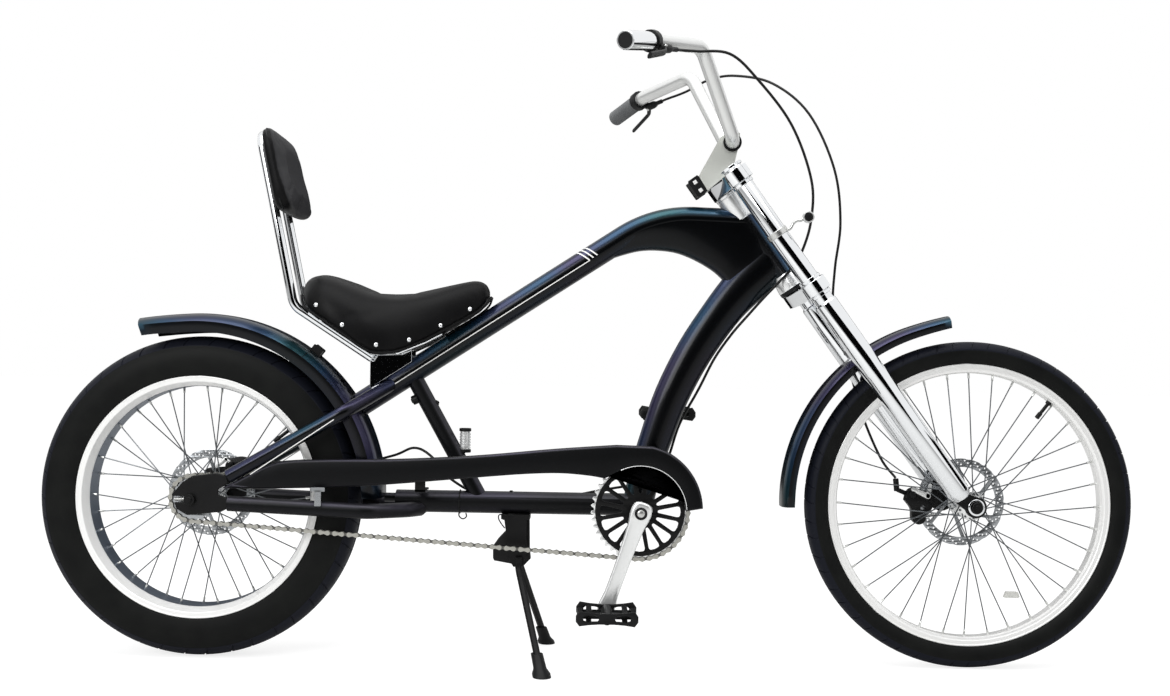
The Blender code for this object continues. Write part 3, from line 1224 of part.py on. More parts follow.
def cable(name, points, per_span, place):
    """Brake cable as a round curve; points in world space."""
    back = place.inverted()
    curve = bpy.data.curves.new(name, "CURVE")
    curve.dimensions = "3D"
    curve.bevel_depth = CABLE_R
    curve.bevel_resolution = 2
    curve.use_fill_caps = True
    spline = curve.splines.new("POLY")
    route = smooth_route(points, per_span)
    spline.points.add(len(route) - 1)
    for point, knot in zip(route, spline.points):
        knot.co = (*(back @ point), 1)
    curve.materials.append(plastic())
    made = bpy.data.objects.new(name, curve)
    made.matrix_world = place
    bpy.context.scene.collection.objects.link(made)


# Rear brake cable from the right lever down to the head tube, then along the frame to the caliper
REAR_CABLE_BAR = (
    (CABLE_START[0], -CABLE_START[1], CABLE_START[2]), (0.1443, -0.2010, 1.0587),
    (0.170, -0.190, 1.0600), (0.226, -0.172, 1.061), (0.2755, -0.142, 1.0277),
    (0.3412, -0.110, 0.9555), (0.3823, -0.080, 0.8649), (0.3869, -0.058, 0.7973), (0.3760, -0.036, 0.7450),
    (0.3610, -0.024, 0.7220),
)
REAR_CABLE_FRAME = (
    (0.3593, -0.0245, 0.7138), (0.338, -0.0285, 0.690), (0.312, -0.0250, 0.662), (0.287, -0.012, 0.632),
    (0.2565, 0.0, 0.5945), (0.2262, 0.0, 0.5500), (0.1990, 0.006, 0.4940), (0.1660, 0.012, 0.4300),
    (0.1480, 0.0235, 0.370), (0.1270, 0.030, 0.318), (0.080, 0.033, 0.314), (0.0300, 0.030, 0.306),
    (-0.060, 0.0255, 0.2900), (-0.180, 0.0255, 0.290),
) + tuple((REAR_AXLE.x + x, y, REAR_AXLE.z + z) for x, y, z in (
    (0.44425, 0.0340, 0.033), (0.40525, 0.0460, 0.074), (0.37265, 0.0560, 0.088), (0.33425, 0.0610, 0.073),
    (0.26425, 0.0612, 0.057), (0.17425, 0.0612, 0.055), (0.08345, 0.0612, 0.059),
))
FRONT_CABLE = (
    CABLE_START, (0.1443, 0.2010, 1.0587), (0.1794, 0.184, 1.0697), (0.2236, 0.165, 1.090),
    (0.271, 0.132, 1.0910),
    (0.3377, 0.100, 1.0700), (0.4025, 0.078, 1.0104), (0.4484, 0.063, 0.9066), (0.4623, 0.066, 0.808),
    (0.4560, 0.078, 0.7246), (0.4560, 0.0915, 0.656), (0.4700, 0.0945, 0.600), (0.4900, 0.0905, 0.530),
    (0.5150, 0.0860, 0.445), (0.5450, 0.066, 0.370), (0.5700, 0.052, 0.3350),
)


def cables():
    cable("cable_rear_bar", REAR_CABLE_BAR, 2, STEERING)
    cable("cable_rear_frame", REAR_CABLE_FRAME, 2, Matrix())
    cable("cable_front", FRONT_CABLE, 2, STEERING)


def main():
    clear_scene()
    frame()
    wheels()
    nutted_axle("rear_axle", REAR_AXLE, DROPOUT_INNER_Y + DROPOUT_THICKNESS)
    chain()
    crank()
    guard()
    fenders()
    seat_parts()
    fork()
    cockpit()
    calipers()
    canister()
    cables()
    stand()


main()
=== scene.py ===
import json
import math

import bmesh
import bpy
from mathutils import Matrix, Vector

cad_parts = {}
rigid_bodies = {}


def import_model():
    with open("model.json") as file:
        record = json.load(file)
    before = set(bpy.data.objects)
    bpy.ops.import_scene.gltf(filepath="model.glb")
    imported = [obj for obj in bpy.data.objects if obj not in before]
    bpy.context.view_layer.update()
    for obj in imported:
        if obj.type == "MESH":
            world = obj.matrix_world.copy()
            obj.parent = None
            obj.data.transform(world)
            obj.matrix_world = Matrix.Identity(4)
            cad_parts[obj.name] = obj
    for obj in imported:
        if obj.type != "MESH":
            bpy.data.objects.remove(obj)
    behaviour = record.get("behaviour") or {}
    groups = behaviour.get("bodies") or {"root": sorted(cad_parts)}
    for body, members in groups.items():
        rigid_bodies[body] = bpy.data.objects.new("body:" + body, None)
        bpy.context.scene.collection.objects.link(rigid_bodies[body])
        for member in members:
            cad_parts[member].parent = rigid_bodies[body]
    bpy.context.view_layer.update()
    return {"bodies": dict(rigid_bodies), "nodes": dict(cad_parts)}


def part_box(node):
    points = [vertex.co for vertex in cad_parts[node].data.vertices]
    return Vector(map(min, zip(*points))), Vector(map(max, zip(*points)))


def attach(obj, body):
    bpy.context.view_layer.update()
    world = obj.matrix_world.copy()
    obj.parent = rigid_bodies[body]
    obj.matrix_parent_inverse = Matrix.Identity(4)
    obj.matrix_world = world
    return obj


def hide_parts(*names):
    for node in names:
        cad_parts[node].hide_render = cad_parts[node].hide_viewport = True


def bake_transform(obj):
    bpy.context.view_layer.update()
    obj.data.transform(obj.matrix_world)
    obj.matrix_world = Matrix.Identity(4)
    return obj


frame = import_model()
kept = set(frame["bodies"].values()) | set(frame["nodes"].values())
for item in list(bpy.data.objects):
    if item not in kept:
        bpy.data.objects.remove(item)
scene = bpy.context.scene
print("frame loaded")


# shapes: each is a pair of point and face lists, made solid at the end


def turns(count):
    # the angles of a whole turn in even steps
    return [2 * math.pi * i / count for i in range(count)]


def outward(angle):
    return Vector((math.cos(angle), 0, math.sin(angle)))


def around(centre, radius, angle):
    # x and z of a point on a ring that faces the bicycle's side
    return centre.x + radius * math.cos(angle), centre.z + radius * math.sin(angle)


def ringOf(centre, radius, count):
    return [around(centre, radius, angle) for angle in turns(count)]


def skin(rings, loop=False, caps=True):
    count = len(rings[0])
    points = [Vector(p) for ring in rings for p in ring]
    faces = []
    for i in range(len(rings) if loop else len(rings) - 1):
        a = i * count
        b = (i + 1) % len(rings) * count
        faces += [(a + j, a + (j + 1) % count, b + (j + 1) % count, b + j) for j in range(count)]
    if caps and not loop:
        faces.append(tuple(range(count)))
        faces.append(tuple(range((len(rings) - 1) * count, len(rings) * count)))
    return points, faces


def lathe(profile, place, segments, closed=True):
    # profile is (radius, height) pairs, turned about the Z axis of place
    rings = []
    for angle in turns(segments):
        c, s = math.cos(angle), math.sin(angle)
        rings.append([place @ Vector((r * c, r * s, h)) for r, h in profile])
    points, faces = skin(rings, loop=True)
    if closed:
        return points, faces
    count = len(profile)
    faces = [f for f in faces if not {0, count - 1} <= {k % count for k in f}]
    faces.append(tuple(i * count for i in range(segments)))
    faces.append(tuple(i * count + count - 1 for i in range(segments)))
    return points, faces


def tube(path, radius, sides=24, loop=False, up=(0, 1, 0)):
    # radius is one number, or one for each point
    path = [Vector(p) for p in path]
    count = len(path)
    radii = radius if isinstance(radius, (list, tuple)) else [radius] * count
    side = Vector(up)
    rings = []
    for i, point in enumerate(path):
        after = path[(i + 1) % count] if loop or i + 1 < count else point
        before = path[i - 1] if loop or i > 0 else point
        tangent = (after - before).normalized()
        side = (side - tangent * side.dot(tangent)).normalized()
        normal = tangent.cross(side)
        rings.append([point + side * (radii[i] * math.cos(angle)) + normal * (radii[i] * math.sin(angle))
                      for angle in turns(sides)])
    return skin(rings, loop)


def collar(bore, radius, low, high, ease):
    # a lathe's profile for a ring with both outer edges eased
    return [(bore, low), (radius - ease, low), (radius, low + ease), (radius, high - ease), (radius - ease, high),
            (bore, high)]


def rod(start, end, radius, sides=16, edge=0.0):
    # straight bar with its ends' edges rounded off
    start, end = Vector(start), Vector(end)
    along = (end - start).normalized()
    up = (1, 0, 0) if abs(along.x) < 0.7 else (0, 1, 0)
    if edge <= 0:
        return tube([start, end], radius, sides, up=up)
    # shares of the edge: how far along the bar, and how much less radius
    steps = ((0.0, 1.0), (0.3, 0.3), (1.0, 0.0))
    path = [start + along * (edge * a) for a, b in steps]
    path += [end - along * (edge * a) for a, b in reversed(steps)]
    radii = [radius - edge * b for a, b in steps + steps[::-1]]
    return tube(path, radii, sides, up=up)


def smoothPath(points, perSpan):
    # a curve through all the points, with perSpan steps between two of them
    points = [Vector(p) for p in points]
    padded = [points[0] * 2 - points[1]] + points + [points[-1] * 2 - points[-2]]
    route = []
    for before, start, end, after in zip(padded, padded[1:], padded[2:], padded[3:]):
        for i in range(perSpan):
            t = i / perSpan
            square = 2 * before - 5 * start + 4 * end - after
            cube = 3 * start - before - 3 * end + after
            route.append(0.5 * (2 * start + (end - before) * t + square * t ** 2 + cube * t ** 3))
    route.append(points[-1])
    return route


def smoothOutline(points, perSpan, closed=False):
    row = [Vector((a, b, 0)) for a, b in points]
    path = smoothPath(row + row[:1], perSpan)[:-1] if closed else smoothPath(row, perSpan)
    return [(p.x, p.y) for p in path]


def roundedPath(points, radius, steps):
    # straight runs with an arc of the radius at each corner, or less where a run is short
    points = [Vector(p) for p in points]
    path = [points[0]]
    for before, corner, after in zip(points, points[1:], points[2:]):
        into = (corner - before).normalized()
        out = (after - corner).normalized()
        turn = into.angle(out)
        if turn < 0.02:
            path.append(corner)
            continue
        most = 0.48 * min((corner - before).length, (after - corner).length)
        reach = min(radius * math.tan(turn / 2), most)
        bend = reach / math.tan(turn / 2)
        centre = corner + (out - into).normalized() * (bend / math.cos(turn / 2))
        start = corner - into * reach - centre
        normal = into.cross(out).normalized()
        path += [centre + Matrix.Rotation(turn * i / steps, 3, normal) @ start for i in range(steps + 1)]
    path.append(points[-1])
    return path


def arc(centre, radius, start, end, steps):
    angles = [math.radians(start + (end - start) * i / steps) for i in range(steps + 1)]
    return [(centre[0] + radius * math.cos(a), centre[1] + radius * math.sin(a)) for a in angles]


def inset(outline, distance):
    # moves each point of a closed outline along the bisector of its corner
    made = []
    count = len(outline)
    for i in range(count):
        before, here, after = (Vector(outline[k % count]) for k in (i - 1, i, i + 1))
        first = (here - before).normalized()
        second = (after - here).normalized()
        bisector = Vector((first.y + second.y, -first.x - second.x))
        made.append(tuple(here + bisector.normalized() * distance))
    return made


def plate(outline, holes, low, high, bevel=0.0):
    # flat plate in x and z between two y values, with bevelled edges and holes
    curve = bpy.data.curves.new("plate", "CURVE")
    curve.dimensions = "2D"
    curve.fill_mode = "BOTH"
    curve.extrude = (high - low) / 2 - bevel
    curve.bevel_depth = bevel
    curve.bevel_resolution = 1
    curve.offset = -bevel
    for ring in [outline] + list(holes):
        spline = curve.splines.new("POLY")
        spline.points.add(len(ring) - 1)
        spline.use_cyclic_u = True
        for point, (x, z) in zip(spline.points, ring):
            point.co = (x, z, 0, 1)
    holder = bpy.data.objects.new("plate", curve)
    scene.collection.objects.link(holder)
    mesh = shapeOf(holder)
    middle = (low + high) / 2
    points = [Vector((v.co.x, middle - v.co.z, v.co.y)) for v in mesh.vertices]
    faces = [tuple(p.vertices) for p in mesh.polygons]
    bpy.data.objects.remove(holder)
    bpy.data.curves.remove(curve)
    bpy.data.meshes.remove(mesh)
    return points, faces


def solid(name, *shapes, sharp=40):
    points, faces = [], []
    for somePoints, someFaces in shapes:
        start = len(points)
        points += somePoints
        faces += [tuple(k + start for k in f) for f in someFaces]
    mesh = bpy.data.meshes.new(name)
    mesh.from_pydata([tuple(p) for p in points], [], faces)
    return finishMesh(name, mesh, sharp)


def block(low, high, place=None, edge=0.0006):
    # box with its four long edges chamfered and a narrow lip at both ends, in the frame of place
    (x0, y0, z0), (x1, y1, z1) = low, high
    e = edge
    outline = [(x0 + e, z0), (x1 - e, z0), (x1, z0 + e), (x1, z1 - e),
               (x1 - e, z1), (x0 + e, z1), (x0, z1 - e), (x0, z0 + e)]
    cx, cz = (x0 + x1) / 2, (z0 + z1) / 2
    rings = []
    for lip, y in ((e, y0), (0.0, y0 + e), (0.0, y1 - e), (e, y1)):
        rings.append([Vector((x + math.copysign(lip, x - cx), y, z + math.copysign(lip, z - cz)))
                      for x, z in outline])
    points, faces = skin(rings)
    return ([place @ p for p in points] if place is not None else points), faces


def finishMesh(name, mesh, sharp):
    # weld, turn the faces outwards, shade smooth up to the sharp angle, and put the piece in the scene
    work = bmesh.new()
    work.from_mesh(mesh)
    bmesh.ops.remove_doubles(work, verts=work.verts, dist=2e-6)
    bmesh.ops.recalc_face_normals(work, faces=work.faces)
    work.to_mesh(mesh)
    work.free()
    mesh.shade_smooth()
    mesh.set_sharp_from_angle(angle=math.radians(sharp))
    made = bpy.data.objects.new(name, mesh)
    scene.collection.objects.link(made)
    return made


def shapeOf(piece):
    # the piece's mesh with its modifiers applied
    return bpy.data.meshes.new_from_object(piece.evaluated_get(bpy.context.evaluated_depsgraph_get()))


def dress(piece, body, surface, slotName, *nodes):
    # give a piece its finish and its body, and hide the nodes it stands for; the slot name is not used
    piece.data.materials.clear()
    piece.data.materials.append(surface)
    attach(piece, body)
    if nodes:
        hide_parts(*nodes)
    return piece


def cadCopy(node, name, body, surface, slotName, edge=0.0008, sharp=38):
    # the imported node's own shape, welded, shaded smooth and with its edges eased
    mesh = frame["nodes"][node].data.copy()
    mesh.name = name
    if mesh.has_custom_normals:
        work = bmesh.new()
        work.from_mesh(mesh)
        clean = bpy.data.meshes.new(name)
        work.verts.ensure_lookup_table()
        clean.from_pydata([tuple(v.co) for v in work.verts], [], [[v.index for v in f.verts] for f in work.faces])
        work.free()
        mesh = clean
    work = bmesh.new()
    work.from_mesh(mesh)
    bmesh.ops.remove_doubles(work, verts=work.verts, dist=1e-5)
    bmesh.ops.dissolve_limit(work, angle_limit=math.radians(1.0), verts=work.verts, edges=work.edges)
    work.to_mesh(mesh)
    work.free()
    piece = finishMesh(name, mesh, sharp)
    if edge > 0:
        bevel = piece.modifiers.new("eased edges", "BEVEL")
        bevel.width = edge
        bevel.segments = 2
        bevel.limit_method = "ANGLE"
        bevel.angle_limit = math.radians(sharp)
        bevel.harden_normals = False
    return dress(piece, body, surface, slotName, node)


# materials


def linear(text):
    parts = [int(text[i:i + 2], 16) / 255 for i in (1, 3, 5)]
    return tuple(c / 12.92 if c <= 0.04045 else ((c + 0.055) / 1.055) ** 2.4 for c in parts) + (1.0,)


def addNode(tree, kind, links=None, **settings):
    # settings that name a property set it; links fill sockets with values, other sockets, or the first
    # output of another node
    made = tree.nodes.new("ShaderNode" + kind)
    for key, value in settings.items():
        setattr(made, key, value)
    for key, value in (links or {}).items():
        if isinstance(value, bpy.types.Node):
            value = value.outputs[0]
        if isinstance(value, bpy.types.NodeSocket):
            tree.links.new(value, made.inputs[key])
        else:
            made.inputs[key].default_value = value
    return made


def newFinish(name):
    made = bpy.data.materials.new(name)
    made.use_nodes = True
    made.node_tree.nodes.clear()
    return made, made.node_tree


def endFinish(tree, links):
    shader = addNode(tree, "BsdfPrincipled", links)
    addNode(tree, "OutputMaterial", {"Surface": shader})


# real sizes of the patterns, in metres; pearl flakes are 0.05 mm and mould rings 0.5 mm, and both are drawn
# coarser so that they show
patternSize = {"smudge": 0.03, "patch": 0.05, "hueDrift": 0.2, "flake": 0.0006, "peel": 0.004, "prism": 0.003,
               "mouldRing": 0.003}


def metalFinish(name, colour, roughness, smudge, metallic=1.0, grain=0.0, grainSize=0.0006):
    # handled metal: faint smudges a few centimetres wide change the gloss, and grain adds the surface's
    # own texture
    made, tree = newFinish(name)
    where = addNode(tree, "TexCoord").outputs["Object"]
    cloud = addNode(tree, "TexNoise", {"Vector": where, "Scale": 1 / patternSize["smudge"], "Detail": 3.0})
    gloss = addNode(tree, "MapRange", {
        "Value": cloud, "To Min": roughness - smudge, "To Max": roughness + smudge})
    links = {"Base Color": linear(colour), "Metallic": metallic, "Roughness": gloss}
    if grain > 0:
        pits = addNode(tree, "TexNoise", {"Vector": where, "Scale": 1 / grainSize, "Detail": 2.0})
        bump = addNode(tree, "Bump", {"Height": pits, "Strength": grain, "Distance": 0.0002})
        links["Normal"] = bump
    endFinish(tree, links)
    return made


def pearlEnamel(name, hues, roughness, metallic, coat):
    # sprayed pearl over black under clear coat: near black face on, and a hue that drifts along the tubes, painted in
    # as a highlight where the surface turns away and looks up
    made, tree = newFinish(name)
    coordinates = addNode(tree, "TexCoord")
    where = coordinates.outputs["Object"]
    drift = addNode(tree, "TexNoise", {"Vector": where, "Scale": 1 / patternSize["hueDrift"], "Detail": 1.0})
    hue = addNode(tree, "ValToRGB", {"Fac": drift})
    stops = hue.color_ramp.elements
    stops[0].position, stops[0].color = 0.36, linear(hues[0])
    stops[1].position, stops[1].color = 0.64, linear(hues[2])
    stops.new(0.5).color = linear(hues[1])
    # painted highlight: the hue shows in a band where the surface turns a little away, and only on the sides that look
    # up, where light from above falls
    edge = addNode(tree, "LayerWeight", {"Blend": 0.5})
    band = addNode(tree, "ValToRGB", {"Fac": edge.outputs["Facing"]})
    marks = band.color_ramp.elements
    marks[0].position, marks[0].color = 0.03, (0, 0, 0, 1)
    marks[1].position, marks[1].color = 0.66, (0.3, 0.3, 0.3, 1)
    for position in (0.17, 0.38):
        marks.new(position).color = (1, 1, 1, 1)
    upward = addNode(tree, "SeparateXYZ", {"Vector": coordinates.outputs["Normal"]}).outputs["Z"]
    lift = addNode(tree, "MapRange", {
        "Value": upward, "From Min": -0.15, "From Max": 0.3, "To Min": 0.12})
    turned = addNode(tree, "Math", {0: band, 1: lift}, operation="MULTIPLY")
    flakes = addNode(tree, "TexVoronoi", {"Vector": where, "Scale": 1 / patternSize["flake"]})
    spark = addNode(tree, "MapRange", {
        "Value": flakes.outputs["Color"], "From Min": 0.7, "From Max": 1.0, "To Min": 0.0, "To Max": 0.12})
    # the painted highlight plus the flakes' own sparkle sets the share of the hue
    paintedHighlightAndFlakes = addNode(tree, "Math", {0: turned, 1: spark}, operation="ADD",
                     use_clamp=True)
    colour = addNode(tree, "Mix", {
        "Factor": paintedHighlightAndFlakes, 6: linear("#07080a"), 7: hue}, data_type="RGBA")
    peel = addNode(tree, "TexNoise", {"Vector": where, "Scale": 1 / patternSize["peel"], "Detail": 1.0})
    bump = addNode(tree, "Bump", {"Height": peel, "Strength": 0.04, "Distance": 0.0004})
    endFinish(tree, {"Base Color": colour.outputs[2], "Metallic": metallic, "Roughness": roughness,
                     "Specular IOR Level": 0.3, "Coat Weight": coat, "Coat Roughness": 0.12,
                     "Normal": bump})
    return made


def softFinish(name, colour, lighter, roughness, grainSize, bumpStrength, isPebbled=False, specular=0.5,
               panel=None):
    # rubber, plastic, vinyl and powder coat: a fine grain in height, and hand-sized patches of slightly
    # lighter colour
    made, tree = newFinish(name)
    coordinates = addNode(tree, "TexCoord")
    where = coordinates.outputs["Object"]
    tone, rough = patchyTone(tree, where, colour, lighter, roughness)
    if panel:
        # a second panel, sewn in where the surface looks along the given direction
        along = addNode(tree, "VectorMath", {0: coordinates.outputs["Normal"], 1: panel[0]},
                        operation="DOT_PRODUCT").outputs["Value"]
        share = addNode(tree, "MapRange", {"Value": along, "From Min": 0.55, "From Max": 0.75})
        tone = addNode(tree, "Mix", {"Factor": share, 6: tone, 7: linear(panel[1])},
                       data_type="RGBA").outputs[2]
    if isPebbled:
        grain = addNode(tree, "TexVoronoi", {"Vector": where, "Scale": 1 / grainSize},
                        feature="SMOOTH_F1")
    else:
        grain = addNode(tree, "TexNoise", {"Vector": where, "Scale": 1 / grainSize, "Detail": 2.0})
    bump = addNode(tree, "Bump", {"Height": grain, "Strength": bumpStrength,
                                            "Distance": 0.0004})
    endFinish(tree, {"Base Color": tone, "Roughness": rough, "Specular IOR Level": specular,
                     "Normal": bump})
    return made


def patchyTone(tree, where, colour, lighter, roughness):
    cloud = addNode(tree, "TexNoise", {"Vector": where, "Scale": 1 / patternSize["patch"], "Detail": 4.0})
    patch = addNode(tree, "MapRange", {"Value": cloud, "From Min": 0.35, "From Max": 0.7})
    tone = addNode(tree, "Mix", {
        "Factor": patch, 6: linear(colour), 7: linear(lighter)}, data_type="RGBA")
    rough = addNode(tree, "MapRange", {
        "Value": cloud, "To Min": roughness - 0.06, "To Max": roughness + 0.06})
    return tone.outputs[2], rough


def tyreFinish(name, centre, shoulder):
    # carbon black tyre rubber, moulded: a matt sidewall with fine mould rings, and beyond the shoulder a smoother tread
    # band painted a little bluer and paler, a painted sheen
    made, tree = newFinish(name)
    where = addNode(tree, "TexCoord").outputs["Object"]
    offset = addNode(tree, "VectorMath", {0: where, 1: tuple(centre)}, operation="SUBTRACT")
    flat = addNode(tree, "VectorMath", {0: offset, 1: (1, 0, 1)}, operation="MULTIPLY")
    radius = addNode(tree, "VectorMath", {0: flat}, operation="LENGTH").outputs["Value"]
    band = addNode(tree, "MapRange", {
        "Value": radius, "From Min": shoulder - 0.0006, "From Max": shoulder + 0.0006})
    tone, rough = patchyTone(tree, where, "#0c0d0d", "#131413", 0.5)
    # painted sheen: the tread band past the shoulder gets a paler blue colour
    colour = addNode(tree, "Mix", {"Factor": band, 6: tone, 7: linear("#15171f")},
                     data_type="RGBA")
    wave = addNode(tree, "Math", {0: radius, 1: 2 * math.pi / patternSize["mouldRing"]},
                   operation="MULTIPLY")
    ripple = addNode(tree, "Math", {0: wave}, operation="SINE")
    wall = addNode(tree, "Math", {0: 1.0, 1: band}, operation="SUBTRACT")
    rings = addNode(tree, "Math", {0: ripple, 1: wall}, operation="MULTIPLY")
    bump = addNode(tree, "Bump", {"Height": rings, "Strength": 0.05, "Distance": 0.0004})
    endFinish(tree, {"Base Color": colour.outputs[2], "Roughness": rough, "Specular IOR Level": 0.1,
                     "Normal": bump})
    return made


def clearFinish():
    # clear injection moulded acrylic over 3 mm prisms: pale, glassy, broken into small cells
    made, tree = newFinish("clear acrylic")
    where = addNode(tree, "TexCoord").outputs["Object"]
    cells = addNode(tree, "TexVoronoi", {"Vector": where, "Scale": 1 / patternSize["prism"]})
    bump = addNode(tree, "Bump", {
        "Height": cells.outputs["Distance"], "Strength": 0.5, "Distance": 0.0006})
    endFinish(tree, {"Base Color": linear("#e6e6e2"), "Roughness": 0.12, "IOR": 1.49,
                     "Transmission Weight": 0.6, "Normal": bump})
    return made


# black pearl enamel: black, with painted highlights in broad soft blue, teal and violet along the tubes and fenders
enamel = pearlEnamel("black pearl enamel", ("#20474e", "#1f3b55", "#322f4a"), 0.28, 0.68, 0.22)
# satin black enamel: softer, greyer painted highlights, with a little violet, on the chain guard and lower tubes
satinEnamel = pearlEnamel("satin black enamel", ("#303034", "#37363c", "#3c3a46"), 0.4, 0.55, 0.0)
# electrostatic powder coat, baked: even black with a 1.2 mm orange peel
powderCoat = softFinish("powder coated steel", "#09090a", "#0e0e0f", 0.4, 0.0012, 0.12, specular=0.2)
# bright chrome on polished steel tube: mirrors the room in long streaks, with faint hand marks
chrome = metalFinish("chrome plate", "#eceef0", 0.05, 0.02)
# glass bead blasted aluminium: pale and soft, 0.5 mm grain
satinAlloy = metalFinish("bead blasted aluminium", "#e3e4e3", 0.34, 0.04, 0.72, grain=0.08, grainSize=0.0006)
# cast aluminium, tumbled: greyer than the bar, for the stem block
castAlloy = metalFinish("tumbled cast aluminium", "#c6c8c2", 0.42, 0.05, 0.35, grain=0.1, grainSize=0.0008)
# forged crank aluminium, buffed and clear coated: nearly white where it catches the room
polishedAlloy = metalFinish("buffed forged aluminium", "#eeefef", 0.24, 0.05, 0.7)
# rolled rim aluminium with a machined brake face: white, with a slight circular lustre
rimAlloy = metalFinish("machined rim aluminium", "#f6f6f5", 0.36, 0.05, 0.38)
# anodised rim bed: dark blue grey, paler where it faces up
rimBarrel = metalFinish("dark anodised rim bed", "#5d6673", 0.42, 0.06, 0.6)
# zinc plated steel nuts and bolts: pale grey, slightly cloudy
zincSteel = metalFinish("zinc plated steel", "#cdcecc", 0.3, 0.06)
# ground stainless rotor: cool grey with fine grinding
rotorSteel = metalFinish("ground rotor steel", "#a9acaf", 0.28, 0.05)
# nickel plated chain plates: warm grey, links turned either way catch the light in turn
chainSteel = metalFinish("nickel plated chain steel", "#b9b8b1", 0.32, 0.1, 0.85)
# oiled steel of the chain's inner plates: darker, so that every second link reads apart
chainDark = metalFinish("oiled chain steel", "#6d6c68", 0.38, 0.08, 0.85)
# drawn stainless spoke wire: thin dark lines against a white room
spokeSteel = metalFinish("stainless spoke wire", "#66696c", 0.3, 0.05)
# grained vinyl over foam: black, 1.4 mm pebble grain, soft grey where it turns to the light
vinyl = softFinish("grained black vinyl", "#080809", "#0d0d0e", 0.44, 0.0014, 0.2, isPebbled=True, specular=0.1)
# the same vinyl with the backrest's front panel in a paler grey
panelVinyl = softFinish("grained vinyl with front panel", "#080809", "#0d0d0e", 0.44, 0.0014, 0.2, isPebbled=True,
                        specular=0.1, panel=((0.976, 0, 0.218), "#2e2e30"))
# injection moulded nylon: dark grey, faintly stippled
moulding = softFinish("moulded black nylon", "#0c0d0e", "#121314", 0.44, 0.0008, 0.15, specular=0.2)
# grey thermoplastic rubber grip: matt, lightly stippled
gripRubber = softFinish("grey grip rubber", "#56585a", "#666869", 0.55, 0.001, 0.15)
# extruded PVC cable jacket: plain black, low gloss
cableJacket = softFinish("cable jacket", "#060606", "#0a0a0b", 0.38, 0.001, 0.05, specular=0.25)
# opaque white vinyl film: flat white stripes
stripePaint = softFinish("white stripe film", "#f2f2f0", "#e9e9e6", 0.35, 0.001, 0.03)
lens = clearFinish()
print("materials made")


# layout: where the wheels, crank and steering stand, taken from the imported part


def middleOf(node):
    low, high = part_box(node)
    return (low + high) / 2


rearAxle = middleOf("rear_tyre")
frontAxle = middleOf("front_tyre")
crankAxis = middleOf("chainring")
crankAxis.y = 0
wheelTurn = Matrix.Rotation(-math.pi / 2, 4, "X")     # Z of a lathe to the wheels' axis
bothSides = ((-1, "right"), (1, "left"))


def onAxle(centre):
    return Matrix.Translation(centre) @ wheelTurn


steeringAxis = {"top": (0.2352, 0, 0.8616), "degrees": 36}
lean = math.radians(steeringAxis["degrees"])
steering = Matrix((
    (math.cos(lean), 0, -math.sin(lean), steeringAxis["top"][0]),
    (0, 1, 0, 0),
    (math.sin(lean), 0, math.cos(lean), steeringAxis["top"][2]),
    (0, 0, 0, 1)))
frontLocal = steering.inverted() @ frontAxle


# tyres

rearTyre = {
    "name": "rear_tyre_tread", "node": "rear_tyre", "body": "rear_wheel", "pairs": 21, "slant": 0.16,
    "profile": ((0.2166, 0.04), (0.2166, 0.0425), (0.223, 0.0446), (0.235, 0.047), (0.248, 0.0474),
                (0.26, 0.0455), (0.268, 0.0424), (0.2688, 0.0419), (0.2698, 0.0413), (0.2708, 0.0406),
                (0.278, 0.0335), (0.2835, 0.0235), (0.2862, 0.012), (0.2869, 0.0)),
    "shoulder": 0.269, "inner": 0.006, "depth": 0.0024, "ribs": (0.004,),
}
frontTyre = {
    "name": "front_tyre_tread", "node": "front_tyre", "body": "front_wheel", "pairs": 28, "slant": 0.11,
    "profile": ((0.2546, 0.015), (0.2546, 0.0165), (0.26, 0.0205), (0.268, 0.0238), (0.274, 0.0247),
                (0.2775, 0.0247), (0.2783, 0.0246), (0.2791, 0.0244), (0.2815, 0.0238), (0.2868, 0.0205),
                (0.2906, 0.0155), (0.2928, 0.01), (0.2938, 0.005), (0.2939, 0.0)),
    "shoulder": 0.2783, "inner": 0.003, "depth": 0.002, "ribs": (0.002,),
}
# where a groove starts above the shoulder, half widths of the seam and the ribs, and the share of their depth
treadCut = {"above": 0.0012, "seamHalf": 0.0005, "ribHalf": 0.001, "shallow": 0.6}
# one pair of grooves along the tread: share of the pair, and whether the ring is cut
treadColumns = ((0.0, 0), (0.13, 0), (0.26, 0), (0.385, 0), (0.392, 1), (0.417, 1), (0.424, 0), (0.55, 0), (0.68, 0),
                (0.81, 0), (0.945, 0), (0.952, 1), (0.977, 1), (0.984, 0))


def tyre(spec, centre):
    half = smoothOutline(spec["profile"], 3)
    profile = [(r, -y) for r, y in half] + [(r, y) for r, y in reversed(half[:-1])]
    shoulder, depth = spec["shoulder"], spec["depth"]
    top = max(r for r, y in profile)
    place = onAxle(centre)
    step = 2 * math.pi / spec["pairs"]
    rings = []
    for i in range(spec["pairs"]):
        for share, isCut in treadColumns:
            ring = []
            for r, y in profile:
                # grooves start along the wheel's radius and curl back over the crown
                up = min(1.0, max(0.0, (r - shoulder) / (top - shoulder)))
                angle = step * (i + share + spec["slant"] * up ** 2)
                isOpen = isCut and r > shoulder + treadCut["above"] and abs(y) > spec["inner"]
                cut = depth if isOpen else 0.0
                isOnRib = any(abs(abs(y) - rib) < treadCut["ribHalf"] for rib in spec["ribs"])
                if isOnRib or abs(r - shoulder) < treadCut["seamHalf"]:
                    cut = depth * treadCut["shallow"]
                ring.append(place @ Vector(((r - cut) * math.cos(angle), (r - cut) * math.sin(angle), y)))
            rings.append(ring)
    made = solid(spec["name"], skin(rings, loop=True), sharp=32)
    surface = tyreFinish(spec["node"].replace("_", " ") + " rubber", centre, shoulder)
    dress(made, spec["body"], surface, "tyre_rubber", spec["node"])


tyre(rearTyre, rearAxle)
tyre(frontTyre, frontAxle)
print("tyres made")


# rims, with their bed, valve and spoke nipples

